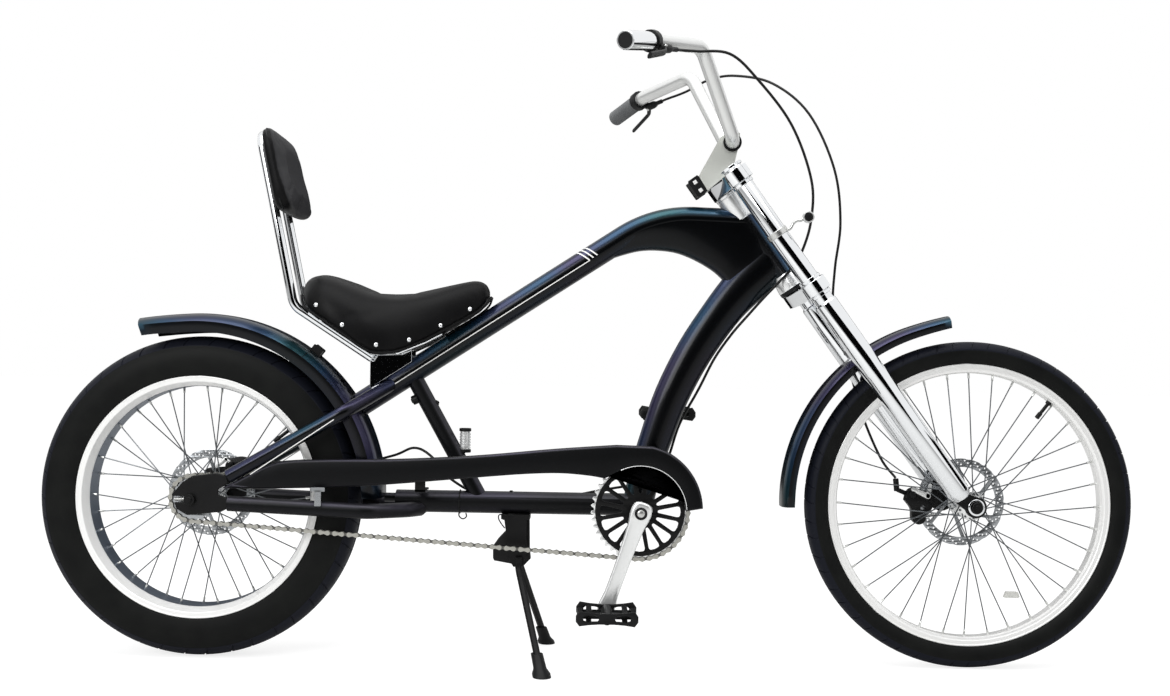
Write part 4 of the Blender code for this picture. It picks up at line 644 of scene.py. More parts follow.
rearRim = {"body": "rear_wheel", "node": "rear_rim", "edge": 0.0425, "outer": 0.2157, "bed": 0.1975,
           "bedHalf": 0.021, "valve": 38, "bedFinish": rimBarrel}
frontRim = {"body": "front_wheel", "node": "front_rim", "edge": 0.0165, "outer": 0.2537, "bed": 0.2375,
            "bedHalf": 0.0085, "valve": 52, "bedFinish": rimAlloy}
# the wall from the tyre inwards: distance under the outer radius, and distance inside the edge
rimWall = ((0.0, 0.0022), (0.0, 0.0004), (0.0006, 0.0), (0.0022, 0.0), (0.003, 0.0006), (0.0095, 0.0008),
           (0.0105, 0.0016))
# steps of the valve: start and end under the bed, radius, sides and rounding
valveSteps = ((0.0, 0.006, 0.0055, 20, 0.001), (0.005, 0.03, 0.0032, 16, 0.0),
              (0.026, 0.038, 0.0042, 16, 0.001))


def rim(spec, centre, label):
    place = onAxle(centre)
    edge, outer, bed, flat = spec["edge"], spec["outer"], spec["bed"], spec["bedHalf"]
    half = [(outer - a, edge - b) for a, b in rimWall]
    half += [(bed + 0.0022, flat + 0.0056), (bed + 0.0006, flat + 0.001), (bed, flat - 0.001)]
    profile = half + [(r, -y) for r, y in reversed(half)]
    profile += [(outer - 0.004, -edge + 0.006), (outer - 0.004, edge - 0.006)]
    shell = solid(label + "_rim_band", lathe(profile, place, 160), sharp=30)
    dress(shell, spec["body"], rimAlloy, "polished_aluminium", spec["node"])
    bedSkin = [(bed - 0.0002, flat + 0.0005), (bed - 0.0002, -flat - 0.0005), (bed + 0.0008, -flat + 0.001),
               (bed + 0.0008, flat - 0.001)]
    strip = solid(label + "_rim_bed", lathe(bedSkin, place, 160), sharp=30)
    dress(strip, spec["body"], spec["bedFinish"], "polished_aluminium")
    out = outward(math.radians(spec["valve"]))
    foot = centre + out * (bed + 0.001)
    stem = [rod(foot - out * a, foot - out * b, r, sides, ease) for a, b, r, sides, ease in valveSteps]
    dress(solid(label + "_valve", *stem), spec["body"], cableJacket, "black_plastic")


rim(rearRim, rearAxle, "rear")
rim(frontRim, frontAxle, "front")


# hubs and wire spokes

rearHub = {"body": "rear_wheel", "node": "rear_hub", "half": 0.0742, "shell": 0.019, "flange": 0.031,
           "flangeY": 0.034, "rim": 0.1975, "rimY": 0.012, "end": 0.013}
frontHub = {"body": "front_wheel", "node": "front_hub", "half": 0.0493, "shell": 0.015, "flange": 0.026,
            "flangeY": 0.027, "rim": 0.2375, "rimY": 0.004, "end": 0.0125}
spoke = {"count": 36, "cross": 60, "radius": 0.0011, "nipple": 0.0021, "nippleLength": 0.01, "stagger": 0.0024,
         "elbow": 0.0045, "head": 0.0019, "holeInset": 0.004}


def hub(spec, centre, label):
    y, flange, shell, end = spec["flangeY"], spec["flange"], spec["shell"], spec["end"]
    half = [(0.0063, spec["half"] - 0.0005), (end - 0.0008, spec["half"] - 0.0005), (end, spec["half"] - 0.0013),
            (end, y + 0.007), (end + 0.002, y + 0.005), (flange - 0.007, y + 0.0031),
            (flange - 0.0006, y + 0.003), (flange, y + 0.0024), (flange, y + 0.0006), (flange - 0.0006, y),
            (flange - 0.007, y - 0.0005), (shell + 0.002, y - 0.004), (shell, y - 0.008), (shell - 0.001, 0.006)]
    profile = half + [(r, -h) for r, h in reversed(half)]
    body = solid(label + "_hub_shell", lathe(profile, onAxle(centre), 64), sharp=35)
    dress(body, spec["body"], polishedAlloy, "polished_aluminium", spec["node"])
    wires, nipples = [], []
    each = spoke["count"] // 2
    for side in (-1, 1):
        for i in range(each):
            # spokes cross in pairs, their heads inside and outside the flange in turn
            sign = 1 if i % 2 else -1
            atRim = 2 * math.pi * (i + (0.5 if side > 0 else 0.0)) / each
            atHub = atRim + sign * math.radians(spoke["cross"])
            aside = side * (y + 0.0015) + sign * spoke["stagger"]
            start = centre + outward(atHub) * (flange - spoke["holeInset"]) + Vector((0, aside, 0))
            end = centre + outward(atRim) * spec["rim"] + Vector((0, side * spec["rimY"], 0))
            along = (end - start).normalized()
            inward = Vector((0, -sign * spoke["elbow"], 0))
            bends = [start + inward, start + inward * 0.25, start + along * 0.0015, end]
            wires.append(tube(bends, spoke["radius"], 8, up=(along.z, 0, -along.x)))
            wires.append(rod(start + inward * 0.9, start + inward * 1.25, spoke["head"], 8))
            nipples.append(rod(end - along * spoke["nippleLength"], end + along * 0.001, spoke["nipple"], 8, 0.0004))
    dress(solid(label + "_spokes", *wires), spec["body"], spokeSteel, "polished_aluminium")
    dress(solid(label + "_nipples", *nipples), spec["body"], zincSteel, "grey_steel")


hub(rearHub, rearAxle, "rear")
hub(frontHub, frontAxle, "front")

reflector = {"at": (0.079, -0.16), "half": (0.015, 0.0058), "y": -0.012, "thick": 0.003,
             # its outline, as shares of the half sizes
             "outline": ((-1.0, -0.7), (-0.8, -1.0), (0.85, -1.0), (1.0, -0.5), (0.8, 0.8), (0.5, 1.0), (-0.75, 1.0))}


def wheelReflector():
    # small clear lens clipped between two spokes
    x, z = frontAxle.x + reflector["at"][0], frontAxle.z + reflector["at"][1]
    hx, hz = reflector["half"]
    outline = [(x + hx * a, z + hz * b) for a, b in reflector["outline"]]
    y = reflector["y"]
    dress(solid("front_reflector", plate(outline, [], y - reflector["thick"], y, 0.0006)), "front_wheel", lens,
          "polished_aluminium")


wheelReflector()
print("wheels made")


# brake rotors: drilled ring, six swept arms and a boss

rotorShape = {"outer": 0.08, "inner": 0.0655, "boss": 0.022, "bore": 0.0138, "thickness": 0.0019, "notch": 0.0009,
              # six arms: their sweep in degrees, and half an arm's width at the ring and at the boss, in radians
              "sweep": 35, "armAtRing": 0.055, "armAtBoss": 0.16,
              # holes lie in three rows, at these distances outside the inner radius
              "holes": 72, "hole": 0.0016, "rows": (0.0035, 0.0072, 0.0109), "boltRing": 0.0185, "bolt": 0.0036}


def rotor(centre, y, body, node, label):
    shape = rotorShape
    sixth, sweep = math.pi / 3, math.radians(shape["sweep"])
    outerArm, innerArm = shape["armAtRing"], shape["armAtBoss"]
    rings = []
    for a in turns(6):
        # window between two arms, as a closed outline
        window = [(shape["inner"] - 0.001, a + outerArm + sweep + (sixth - 2 * outerArm) * k / 8) for k in range(9)]
        window += [(shape["boss"] + 0.002, a + sixth - innerArm - (sixth - 2 * innerArm) * k / 8) for k in range(9)]
        rings.append([around(centre, r, t) for r, t in window])
    for i, t in enumerate(turns(shape["holes"])):
        rings.append(ringOf(centre + outward(t) * (shape["inner"] + shape["rows"][i % 3]), shape["hole"], 12))
    rings.append(ringOf(centre, shape["bore"], 48))
    outline = [around(centre, shape["outer"] - (shape["notch"] if i % 8 in (0, 1) else 0.0), t)
               for i, t in enumerate(turns(144))]
    half = shape["thickness"] / 2
    disc = solid(label + "_rotor_disc", plate(outline, rings, y - half, y + half, 0.0002), sharp=30)
    dress(disc, body, rotorSteel, "grey_steel", node)
    bolts = []
    for t in turns(6):
        at = Vector((centre.x, y, centre.z)) + outward(t + math.pi / 12) * shape["boltRing"]
        bolts.append(rod(at, at + Vector((0, 0.0035, 0)), shape["bolt"], 12, 0.0006))
    dress(solid(label + "_rotor_bolts", *bolts), body, powderCoat, "grey_steel")


rotor(rearAxle, middleOf("rear_rotor").y, "rear_wheel", "rear_rotor", "rear")
rotor(frontAxle, middleOf("front_rotor").y, "front_wheel", "front_rotor", "front")


# chain, sprocket and chainring

drive = {"pitch": 0.0127, "ringTeeth": 42, "sprocketTeeth": 20, "line": middleOf("chainring").y,
         "plateHalf": 0.0043, "waist": 0.0021, "plateThick": 0.001, "innerY": 0.0024, "outerY": 0.0036,
         # roller and pin: radius, sides and half width
         "turned": ((0.0036, 10, 0.0019), (0.0015, 8, 0.00425)), "toothHalf": 0.0014, "overTeeth": 0.0065,
         # one tooth: share of the pitch, and height over the pitch circle
         "tooth": ((0.0, -0.0037), (0.16, -0.003145), (0.36, 0.0014), (0.45, 0.002), (0.55, 0.002),
                   (0.64, 0.0014), (0.84, -0.003145))}


def pitchRadius(teeth):
    return drive["pitch"] / (2 * math.sin(math.pi / teeth))


def chainPins():
    # pin centres round both toothed wheels and along the two straight runs between them
    big, small = pitchRadius(drive["ringTeeth"]), pitchRadius(drive["sprocketTeeth"])
    rear, front = (rearAxle.x, rearAxle.z), (crankAxis.x, crankAxis.z)
    span = math.dist(rear, front)
    tilt = math.atan2(front[1] - rear[1], front[0] - rear[0])
    spread = math.asin((big - small) / span)
    upper, lower = tilt + spread + math.pi / 2, tilt - spread - math.pi / 2
    straight = span * math.cos(spread)
    wraps = (big * (upper - lower), small * (2 * math.pi - (upper - lower)))
    length = 2 * straight + sum(wraps)
    count = 2 * round(length / drive["pitch"] / 2)
    lowerRun = (around(crankAxis, big, lower), around(rearAxle, small, lower))
    upperRun = (around(rearAxle, small, upper), around(crankAxis, big, upper))
    pins = []
    for i in range(count):
        way = length * i / count
        if way < wraps[0]:
            pins.append(around(crankAxis, big, upper - way / big))
            continue
        way -= wraps[0]
        if way < straight:
            pins.append(between(lowerRun, way / straight))
            continue
        way -= straight
        if way < wraps[1]:
            pins.append(around(rearAxle, small, lower - way / small))
            continue
        pins.append(between(upperRun, (way - wraps[1]) / straight))
    return pins, upper, lower


def between(run, share):
    return tuple(a + (b - a) * share for a, b in zip(*run))


def isOverTeeth(pin):
    return any(math.dist(pin, (axis.x, axis.z)) < pitchRadius(drive[teeth]) + drive["overTeeth"]
               for axis, teeth in ((crankAxis, "ringTeeth"), (rearAxle, "sprocketTeeth")))


pins, upperAngle, lowerAngle = chainPins()


def chainLinks():
    y, half, thick, tooth = drive["line"], drive["plateHalf"], drive["plateThick"], drive["toothHalf"]
    plates, rollers = ([], []), []
    for i, here in enumerate(pins):
        there = pins[(i + 1) % len(pins)]
        a, b = Vector((here[0], 0, here[1])), Vector((there[0], 0, there[1]))
        along = (b - a).normalized()
        across = Vector((-along.z, 0, along.x))
        outline = []
        for end, sign in ((a, -1), (b, 1)):
            for k in range(7):
                t = math.pi * (k / 6 - 0.5)
                outline.append(end + along * (sign * half * math.cos(t)) + across * (sign * half * math.sin(t)))
            outline.append((a + b) / 2 + across * (sign * drive["waist"]))
        at = drive["outerY"] if i % 2 else drive["innerY"]
        for side in (-1, 1):
            low = y + side * at - thick / 2
            plates[i % 2].append(skin([[p + Vector((0, low + t, 0)) for p in outline] for t in (0.0, thick)]))
        for radius, sides, reach in drive["turned"]:
            # over the teeth each is drawn as its two ends, so that teeth at any angle pass between them
            spans = ((-reach, -tooth), (tooth, reach)) if isOverTeeth(here) else ((-reach, reach),)
            for low, high in spans:
                rollers.append(rod((here[0], y + low, here[1]), (here[0], y + high, here[1]), radius, sides))
    dress(solid("chain_links", *plates[1], *rollers, sharp=35), "root", chainSteel, "grey_steel", "chain")
    dress(solid("chain_inner_links", *plates[0], sharp=35), "root", chainDark, "grey_steel")


chainLinks()


def teethOutline(teeth, centre, phase):
    radius = pitchRadius(teeth)
    return [around(centre, radius + rise, phase + 2 * math.pi * (i + share) / teeth)
            for i in range(teeth) for share, rise in drive["tooth"]]


chainringShape = {
    "thickness": 0.0022, "cover": 0.0792, "bore": 0.013, "windows": 16, "webFront": 0.0036, "webInset": 0.0009,
    # half width and radius round one petal-shaped window
    "petal": ((-0.0034, 0.033), (-0.0018, 0.0306), (0.0018, 0.0306), (0.0034, 0.033), (0.0102, 0.065),
              (0.0097, 0.0688), (0.0075, 0.071), (0.0, 0.0722), (-0.0075, 0.071), (-0.0097, 0.0688),
              (-0.0102, 0.065)),
}
sprocketShape = {"thickness": 0.0022, "bore": 0.0134, "holes": 5, "hole": 0.0048, "holeRing": 0.0245}


def petals(grow):
    # the ring's windows, each grown outwards by a distance
    shape = inset(chainringShape["petal"], grow)
    made = []
    for turn in turns(chainringShape["windows"]):
        c, s = math.cos(turn), math.sin(turn)
        made.append([(crankAxis.x + a * c + b * s, crankAxis.z - a * s + b * c) for a, b in shape])
    return made


def chainring():
    y, half = drive["line"], chainringShape["thickness"] / 2
    teeth = teethOutline(drive["ringTeeth"], crankAxis, upperAngle)
    bore = ringOf(crankAxis, chainringShape["bore"], 36)
    ring = solid("chainring_teeth", plate(teeth, petals(0.0) + [bore], y - half, y + half, 0.0002), sharp=30)
    dress(ring, "crank", polishedAlloy, "coated_steel")
    cover = ringOf(crankAxis, chainringShape["cover"], 180)
    holes = petals(-chainringShape["webInset"]) + [bore]
    web = plate(cover, holes, y - chainringShape["webFront"], y - half - 0.00015, 0.0005)
    dress(solid("chainring_web", web, sharp=35), "crank", powderCoat, "coated_steel", "chainring")


chainring()


def sprocket():
    y, half = drive["line"], sprocketShape["thickness"] / 2
    teeth = teethOutline(drive["sprocketTeeth"], rearAxle, lowerAngle)
    holes = [ringOf(rearAxle, sprocketShape["bore"], 36)]
    for t in turns(sprocketShape["holes"]):
        holes.append(ringOf(rearAxle + outward(t) * sprocketShape["holeRing"], sprocketShape["hole"], 24))
    made = solid("freewheel_sprocket", plate(teeth, holes, y - half, y + half, 0.0002), sharp=30)
    dress(made, "rear_wheel", rotorSteel, "grey_steel", "rear_sprocket")


sprocket()
print("drive made")


# crank arms, axle and pedals

crankShape = {
    "length": 0.175, "lean": 19.2, "inner": 0.09, "thickness": 0.015,
    "spindle": (0.005, 0.094), "roundness": (0.55, 0.7),
    # share of the length, half width, share of the thickness
    "stations": ((-0.11, 0.006, 0.6), (-0.105, 0.01, 0.8), (-0.09, 0.0148, 0.96), (-0.06, 0.0176, 1.0),
                 (0.0, 0.0188, 1.0), (0.06, 0.0178, 0.97), (0.12, 0.0158, 0.9), (0.25, 0.0142, 0.8),
                 (0.5, 0.0126, 0.72), (0.8, 0.0124, 0.67), (0.9, 0.0136, 0.68), (0.96, 0.015, 0.7),
                 (1.02, 0.0148, 0.7), (1.06, 0.012, 0.68), (1.08, 0.008, 0.6)),
    # ring and bolt at the axle's end, as radius and height
    "ring": ((0.0068, -0.001), (0.0068, 0.0008), (0.0074, 0.0013), (0.0104, 0.0013), (0.011, 0.0006),
             (0.011, -0.001)),
    "bolt": ((0.0001, 0.0016), (0.005, 0.0016), (0.0062, 0.0008), (0.0066, -0.001), (0.0001, -0.001)),
}


def crankArm(side, label):
    turn = math.radians(crankShape["lean"]) + (0 if side < 0 else math.pi)
    along = Vector((-math.sin(turn), 0, -math.cos(turn)))
    across = Vector((-along.z, 0, along.x))
    middle = side * (crankShape["inner"] + crankShape["thickness"] / 2)
    wideness, depth = crankShape["roundness"]
    rings = []
    for share, halfWide, thick in smoothPath(crankShape["stations"], 3):
        point = crankAxis + along * (crankShape["length"] * share) + Vector((0, middle, 0))
        ring = []
        for t in turns(32):
            c, s = math.cos(t), math.sin(t)
            a = math.copysign(abs(c) ** wideness, c) * halfWide
            b = math.copysign(abs(s) ** depth, s) * crankShape["thickness"] / 2 * thick
            ring.append(point + across * a + Vector((0, b, 0)))
        rings.append(ring)
    outer = side * (crankShape["inner"] + crankShape["thickness"])
    pedalAxis = crankAxis + along * crankShape["length"]
    radius, reach = crankShape["spindle"]
    spindle = rod(pedalAxis + Vector((0, middle, 0)), pedalAxis + Vector((0, outer + side * reach, 0)), radius, 20,
                  0.001)
    arm = solid("crank_arm_%s_forged" % label, skin(rings), spindle, sharp=50)
    dress(arm, "crank", polishedAlloy, "polished_aluminium", "crank_arm_" + label)
    place = onAxle(crankAxis + Vector((0, outer, 0))) @ Matrix.Scale(side, 4, (0, 0, 1))
    dress(solid("crank_%s_dust_ring" % label, lathe(crankShape["ring"], place, 40)), "crank", moulding, "black_plastic")
    bolt = lathe(crankShape["bolt"], place, 32, closed=False)
    dress(solid("crank_%s_bolt" % label, bolt), "crank", zincSteel, "grey_steel")
    out = Vector((0, side, 0))
    washer = rod(pedalAxis + out * (abs(outer) - 0.001), pedalAxis + out * (abs(outer) + 0.0032), 0.0075, 24, 0.0005)
    dress(solid("crank_%s_spindle_collar" % label, washer), "crank", zincSteel, "grey_steel")
    return pedalAxis, outer


def crankAxle():
    line = abs(drive["line"])
    end = crankShape["inner"] + 0.008
    profile = [(0.0084, -end), (0.0084, -line - 0.0035), (0.0124, -line - 0.0035), (0.0124, -0.041),
               (0.0084, -0.041), (0.0084, end)]
    spindle = solid("crank_spindle", lathe(profile, onAxle(crankAxis), 32, closed=False))
    dress(spindle, "crank", zincSteel, "grey_steel", "crank_axle")
    cups = []
    for side in (-1, 1):
        start, end = (crankAxis + Vector((0, side * y, 0)) for y in (0.0362, 0.0392))
        cups.append(rod(start, end, 0.0215, 32, 0.0008))
    dress(solid("bracket_cups", *cups), "root", powderCoat, "coated_steel")


pedalShape = {
    "length": 0.104, "width": 0.096, "thick": 0.027, "wall": 0.0085, "gap": 0.0042,
    # end bars as x, z and height, and the rib's outline
    "bars": ((0.0455, 0.0, 0.011), (0.03, -0.0085, 0.003), (0.03, 0.0075, 0.003)), "barHalf": 0.0042,
    "rib": ((0.0098, -0.0035), (0.043, -0.0035), (0.043, 0.0035), (0.0098, 0.0035)), "ribHalf": 0.0016,
    # share of the half length or distance from its end, and share of the half thickness
    "top": ((0.0, 0.35), (0.006, 0.99), (0.022, 0.8), (0.0395, 0.7)), "under": 0.9,
    "slot": ((0.0135, -0.0015), (0.0155, -0.004), (0.0335, -0.0046), (0.039, -0.003), (0.0395, 0.003),
             (0.035, 0.0064), (0.02, 0.0056), (0.014, 0.004)),
}


def pedal(side, label, axis, outer):
    # boat-shaped platform with a waist: two rails with windows, end bars, a barrel and ribs
    shape = pedalShape
    near, far = outer + side * shape["gap"], outer + side * (shape["gap"] + shape["width"] - 0.0004)
    low, high = sorted((near, far))
    lx, tz, wall, barHalf = shape["length"] / 2, shape["thick"] / 2, shape["wall"], shape["barHalf"]

    def put(points, sign=1):
        return [(axis.x + sign * x, axis.z + z) for x, z in points]

    upper = [(-lx + a, tz * b) for a, b in shape["top"]]
    upper += [(-x, z) for x, z in reversed(upper)]
    outline = upper + [(x, -z * shape["under"]) for x, z in reversed(upper)]
    slots = [put(shape["slot"], sign) for sign in (-1, 1)]
    parts = [plate(put(reversed(outline)), slots, y0, y1, 0.0014)
             for y0, y1 in ((low, low + wall), (high - wall, high))]
    for sign in (-1, 1):
        for x, z, height in shape["bars"]:
            bottom, top = z - height / 2, z + height / 2
            bar = [(x - barHalf, bottom), (x + barHalf, bottom), (x + barHalf + 0.001, z), (x + barHalf, top),
                   (x - barHalf, top)]
            parts.append(plate(put(bar, sign), [], low + wall - 0.001, high - wall + 0.001, 0.0008))
        for share in (0.25, 0.5, 0.75):
            y = low + (high - low) * share
            parts.append(plate(put(shape["rib"], sign), [], y - shape["ribHalf"], y + shape["ribHalf"], 0.0004))
    barrel = [(0.0053, low + 0.0002), (0.0094, low + 0.0002), (0.01, low + 0.01), (0.01, high - 0.01),
              (0.0094, high - 0.0002), (0.0053, high - 0.0002)]
    parts.append(lathe(barrel, onAxle(Vector((axis.x, 0, axis.z))), 32))
    made = solid("pedal_%s_platform" % label, *parts, sharp=35)
    dress(made, label + "_pedal", moulding, "black_plastic", "pedal_" + label)


for side, label in bothSides:
    pedalAxis, outer = crankArm(side, label)
    pedal(side, label, pedalAxis, outer)
crankAxle()
print("cranks and pedals made")


# frame tubes

frameShape = {
    "topRadius": 0.022, "topRear": (-0.412, 0, 0.456), "topBend": (0.116, 0, 0.8035),
    "topFront": (0.275, 0, 0.7985), "topBendRadius": 0.22, "downHalf": 0.021,
    # centre line of the down tube as x and z, and half its depth
    "down": ((0.333, 0.737, 0.044), (0.312, 0.716, 0.042), (0.272, 0.676, 0.038), (0.235, 0.6304, 0.0345),
             (0.189, 0.5605, 0.033), (0.1496, 0.4812, 0.0315), (0.1244, 0.4098, 0.0296), (0.105, 0.345, 0.0285),
             (0.0945, 0.296, 0.028)),
    # lower edge of the web under the top tube, and where it starts and ends along the tube
    "web": ((0.022, 0.722), (0.042, 0.7285), (0.062, 0.735), (0.086, 0.741), (0.114, 0.743), (0.148, 0.74),
            (0.175, 0.7315), (0.201, 0.719), (0.223, 0.705), (0.239, 0.6905), (0.262, 0.67), (0.3, 0.69)),
    "webTop": (0.006, 0.33), "webHalf": (0.0216, 0.015), "webShoulder": 0.0214, "webNose": 0.0125,
}


def cutAt(shape, point, normal):
    # drop what lies past a plane, and close the cut
    mesh = bpy.data.meshes.new("cut")
    mesh.from_pydata([tuple(p) for p in shape[0]], [], shape[1])
    work = bmesh.new()
    work.from_mesh(mesh)
    geometry = work.verts[:] + work.edges[:] + work.faces[:]
    cut = bmesh.ops.bisect_plane(work, geom=geometry, plane_co=point, plane_no=normal, clear_outer=True)
    edges = [e for e in cut["geom_cut"] if isinstance(e, bmesh.types.BMEdge)]
    bmesh.ops.contextual_create(work, geom=edges)
    work.verts.index_update()
    points = [v.co.copy() for v in work.verts]
    faces = [tuple(v.index for v in f.verts) for f in work.faces]
    work.free()
    bpy.data.meshes.remove(mesh)
    return points, faces


def headWeb(topPath):
    # a skin from both sides of the top tube down to a rounded lower edge, thinner than the tube
    lower = smoothPath([(x, 0, z) for x, z in frameShape["web"]], 3)
    first, last = frameShape["webTop"]
    thick, thin = frameShape["webHalf"]
    shoulder, depth = frameShape["webShoulder"], frameShape["webNose"]
    topX = [p.x for p in topPath]
    rings = []
    for i, low in enumerate(lower):
        x = first + (last - first) * i / (len(lower) - 1)
        k = max(j for j in range(len(topX) - 1) if topX[j] <= x or j == 0)
        share = (x - topX[k]) / (topX[k + 1] - topX[k])
        high = Vector((x, 0, topPath[k].z + (topPath[k + 1].z - topPath[k].z) * share))
        down = low - high
        drop = down.length
        half = thick - (thick - thin) * min(1.0, drop / 0.03)
        out = down.normalized() if drop > 1e-6 else Vector((0, 0, -1))
        reach = max(0.0, 1 - depth / max(drop, depth + 0.0001))
        flank = ((0.0, shoulder), (0.25, shoulder), (0.62, (shoulder + half) / 2), (1.0, half))
        nose = ((half * 0.87, 0.0065), (half * 0.55, 0.0108), (0.0, depth))
        right = [high + down * s * reach + Vector((0, w, 0)) for s, w in flank]
        right += [high + down * reach + out * d + Vector((0, w, 0)) for w, d in nose]
        rings.append(right + [Vector((p.x, -p.y, p.z)) for p in reversed(right[:-1])])
    return skin(rings)


def frameTubes():
    topPath = roundedPath([frameShape["topRear"], frameShape["topBend"], frameShape["topFront"]],
                          frameShape["topBendRadius"], 24)
    headFace = steering @ Vector((-0.002, 0, 0))
    ahead = steering.to_3x3() @ Vector((1, 0, 0))
    top = cutAt(tube(topPath, frameShape["topRadius"], 40), headFace, ahead)
    dress(solid("top_tube_smooth", top), "root", enamel, "frame_paint", "top_tube")
    dress(solid("head_web", cutAt(headWeb(topPath), headFace, ahead), sharp=50), "root", enamel, "frame_paint")
    stations = smoothPath(frameShape["down"], 4)
    path = [Vector((x, 0, z)) for x, z, half in stations]
    points, faces = tube(path, frameShape["downHalf"], 40)
    # stretch each ring from round to its own depth
    for i, p in enumerate(points):
        offset = p - path[i // 40]
        factor = stations[i // 40][2] / frameShape["downHalf"]
        points[i] = path[i // 40] + Vector((offset.x * factor, offset.y, offset.z * factor))
    down = cutAt((points, faces), headFace, ahead)
    dress(solid("down_tube_smooth", down), "root", enamel, "frame_paint", "down_tube")
    for node, edge in (("lower_tube", 0.0006), ("seat_strut", 0.0), ("bracket_shell", 0.0008)):
        cadCopy(node, node + "_smooth", "root", satinEnamel, "frame_paint", edge)
    for side in ("right", "left"):
        cadCopy("chain_stay_" + side, "chain_stay_%s_smooth" % side, "root", satinEnamel, "frame_paint", 0.0, 48)
        cadCopy("seat_stay_" + side, "seat_stay_%s_smooth" % side, "root", enamel, "frame_paint", 0.0, 48)
        cadCopy("dropout_" + side, "dropout_%s_plate" % side, "root", powderCoat, "coated_steel", 0.0012, 30)


frameTubes()

pinstripe = {"width": 0.0016, "lift": 0.0003, "angle": -8, "start": -0.395, "end": -0.004}
bars = {"starts": (-0.0045, 0.0025, 0.0095), "width": 0.0026, "from": -6, "to": 74, "slant": 0.012}
seatStay = {"radius": 0.0125, "y": 0.0805, "rear": (-0.5985, 0.3285), "front": (-0.428, 0.4445), "angle": -10,
            "width": 0.0016, "gaps": (0.012, 0.02)}


def band(spine, along, side, up, radius, turn, turnEnd, width, slant=0.0):
    # thin strip of film on a tube: between two points of the spine, or across it when turn and turnEnd differ
    rings = []
    lift, steps = pinstripe["lift"], 14
    for i in range(steps + 1):
        share = i / steps
        angle = math.radians(turn + (turnEnd - turn) * share)
        if turn == turnEnd:
            centre = spine[0].lerp(spine[1], share)
            half = width / 2 / radius
            rings.append([centre + (side * math.cos(angle + a) + up * math.sin(angle + a)) * (radius + r)
                          for a, r in ((-half, -lift), (half, -lift), (half, lift), (-half, lift))])
        else:
            centre = spine[0] - along * (slant * share)
            out = side * math.cos(angle) + up * math.sin(angle)
            half = width / 2
            rings.append([centre + along * a + out * (radius + r)
                          for a, r in ((-half, -lift), (half, -lift), (half, lift), (-half, lift))])
    return skin(rings)


def frameStripes():
    rear, bend = Vector(frameShape["topRear"]), Vector(frameShape["topBend"])
    along = (bend - rear).normalized()
    up = Vector((-along.z, 0, along.x))
    radius, angle = frameShape["topRadius"], pinstripe["angle"]
    films = []
    for sign in (-1, 1):
        side = Vector((0, sign, 0))
        spine = [rear + along * ((pinstripe[key] - rear.x) / along.x) for key in ("start", "end")]
        films.append(band(spine, along, side, up, radius, angle, angle, pinstripe["width"]))
        for start in bars["starts"]:
            foot = rear + along * ((start - rear.x) / along.x)
            films.append(band([foot], along, side, up, radius, bars["from"], bars["to"], bars["width"], bars["slant"]))
        a, b = (Vector((x, sign * seatStay["y"], z)) for x, z in (seatStay["rear"], seatStay["front"]))
        way = (b - a).normalized()
        spine = (a + way * seatStay["gaps"][0], b - way * seatStay["gaps"][1])
        films.append(band(spine, way, side, Vector((-way.z, 0, way.x)), seatStay["radius"], seatStay["angle"],
                          seatStay["angle"], seatStay["width"]))
    dress(solid("frame_stripes", *films), "root", stripePaint, "frame_paint")


frameStripes()

# threaded bosses, as centre x and z, radius, and the direction each one points in, in degrees
bosses = (
    ("strut_knob", (-0.314, 0.466), 0.0085, 0.014, 205), ("strut_boss", (-0.2765, 0.46), 0.005, 0.011, 27),
    ("saddle_boss", (-0.2475, 0.547), 0.0055, 0.008, -59), ("top_tube_boss", (-0.058, 0.669), 0.0055, 0.008, -59),
    ("lower_tube_boss", (-0.1375, 0.299), 0.0055, 0.01, 90),
    ("lower_tube_foot", (-0.0201, 0.269), 0.0055, 0.009, -90),
)


def frameBosses():
    for name, (x, z), radius, length, degrees in bosses:
        out = outward(math.radians(degrees))
        foot = Vector((x, 0, z)) - out * (length * 0.6)
        shapes = [rod(foot, foot + out * length, radius, 24, 0.0012),
                  rod(foot + out * (length - 0.0005), foot + out * (length + 0.0016), radius * 0.55, 6, 0.0004)]
        dress(solid(name, *shapes), "root", powderCoat, "coated_steel")


frameBosses()


def guardBrackets():
    # black strut under the chain's upper run, and a small bright plate on the chain stay
    black = [block((-0.303, -0.0672, 0.3065), (-0.286, -0.064, 0.327)),
             block((-0.303, -0.0672, 0.3055), (-0.286, -0.012, 0.3085))]
    dress(solid("guard_strut", *black), "root", powderCoat, "coated_steel")
    bright = [block((-0.4735, -0.0962, 0.281), (-0.464, -0.0943, 0.307)),
              block((-0.48, -0.0962, 0.3065), (-0.4575, -0.0943, 0.312))]
    dress(solid("guard_clip", *bright), "root", rotorSteel, "grey_steel")


guardBrackets()


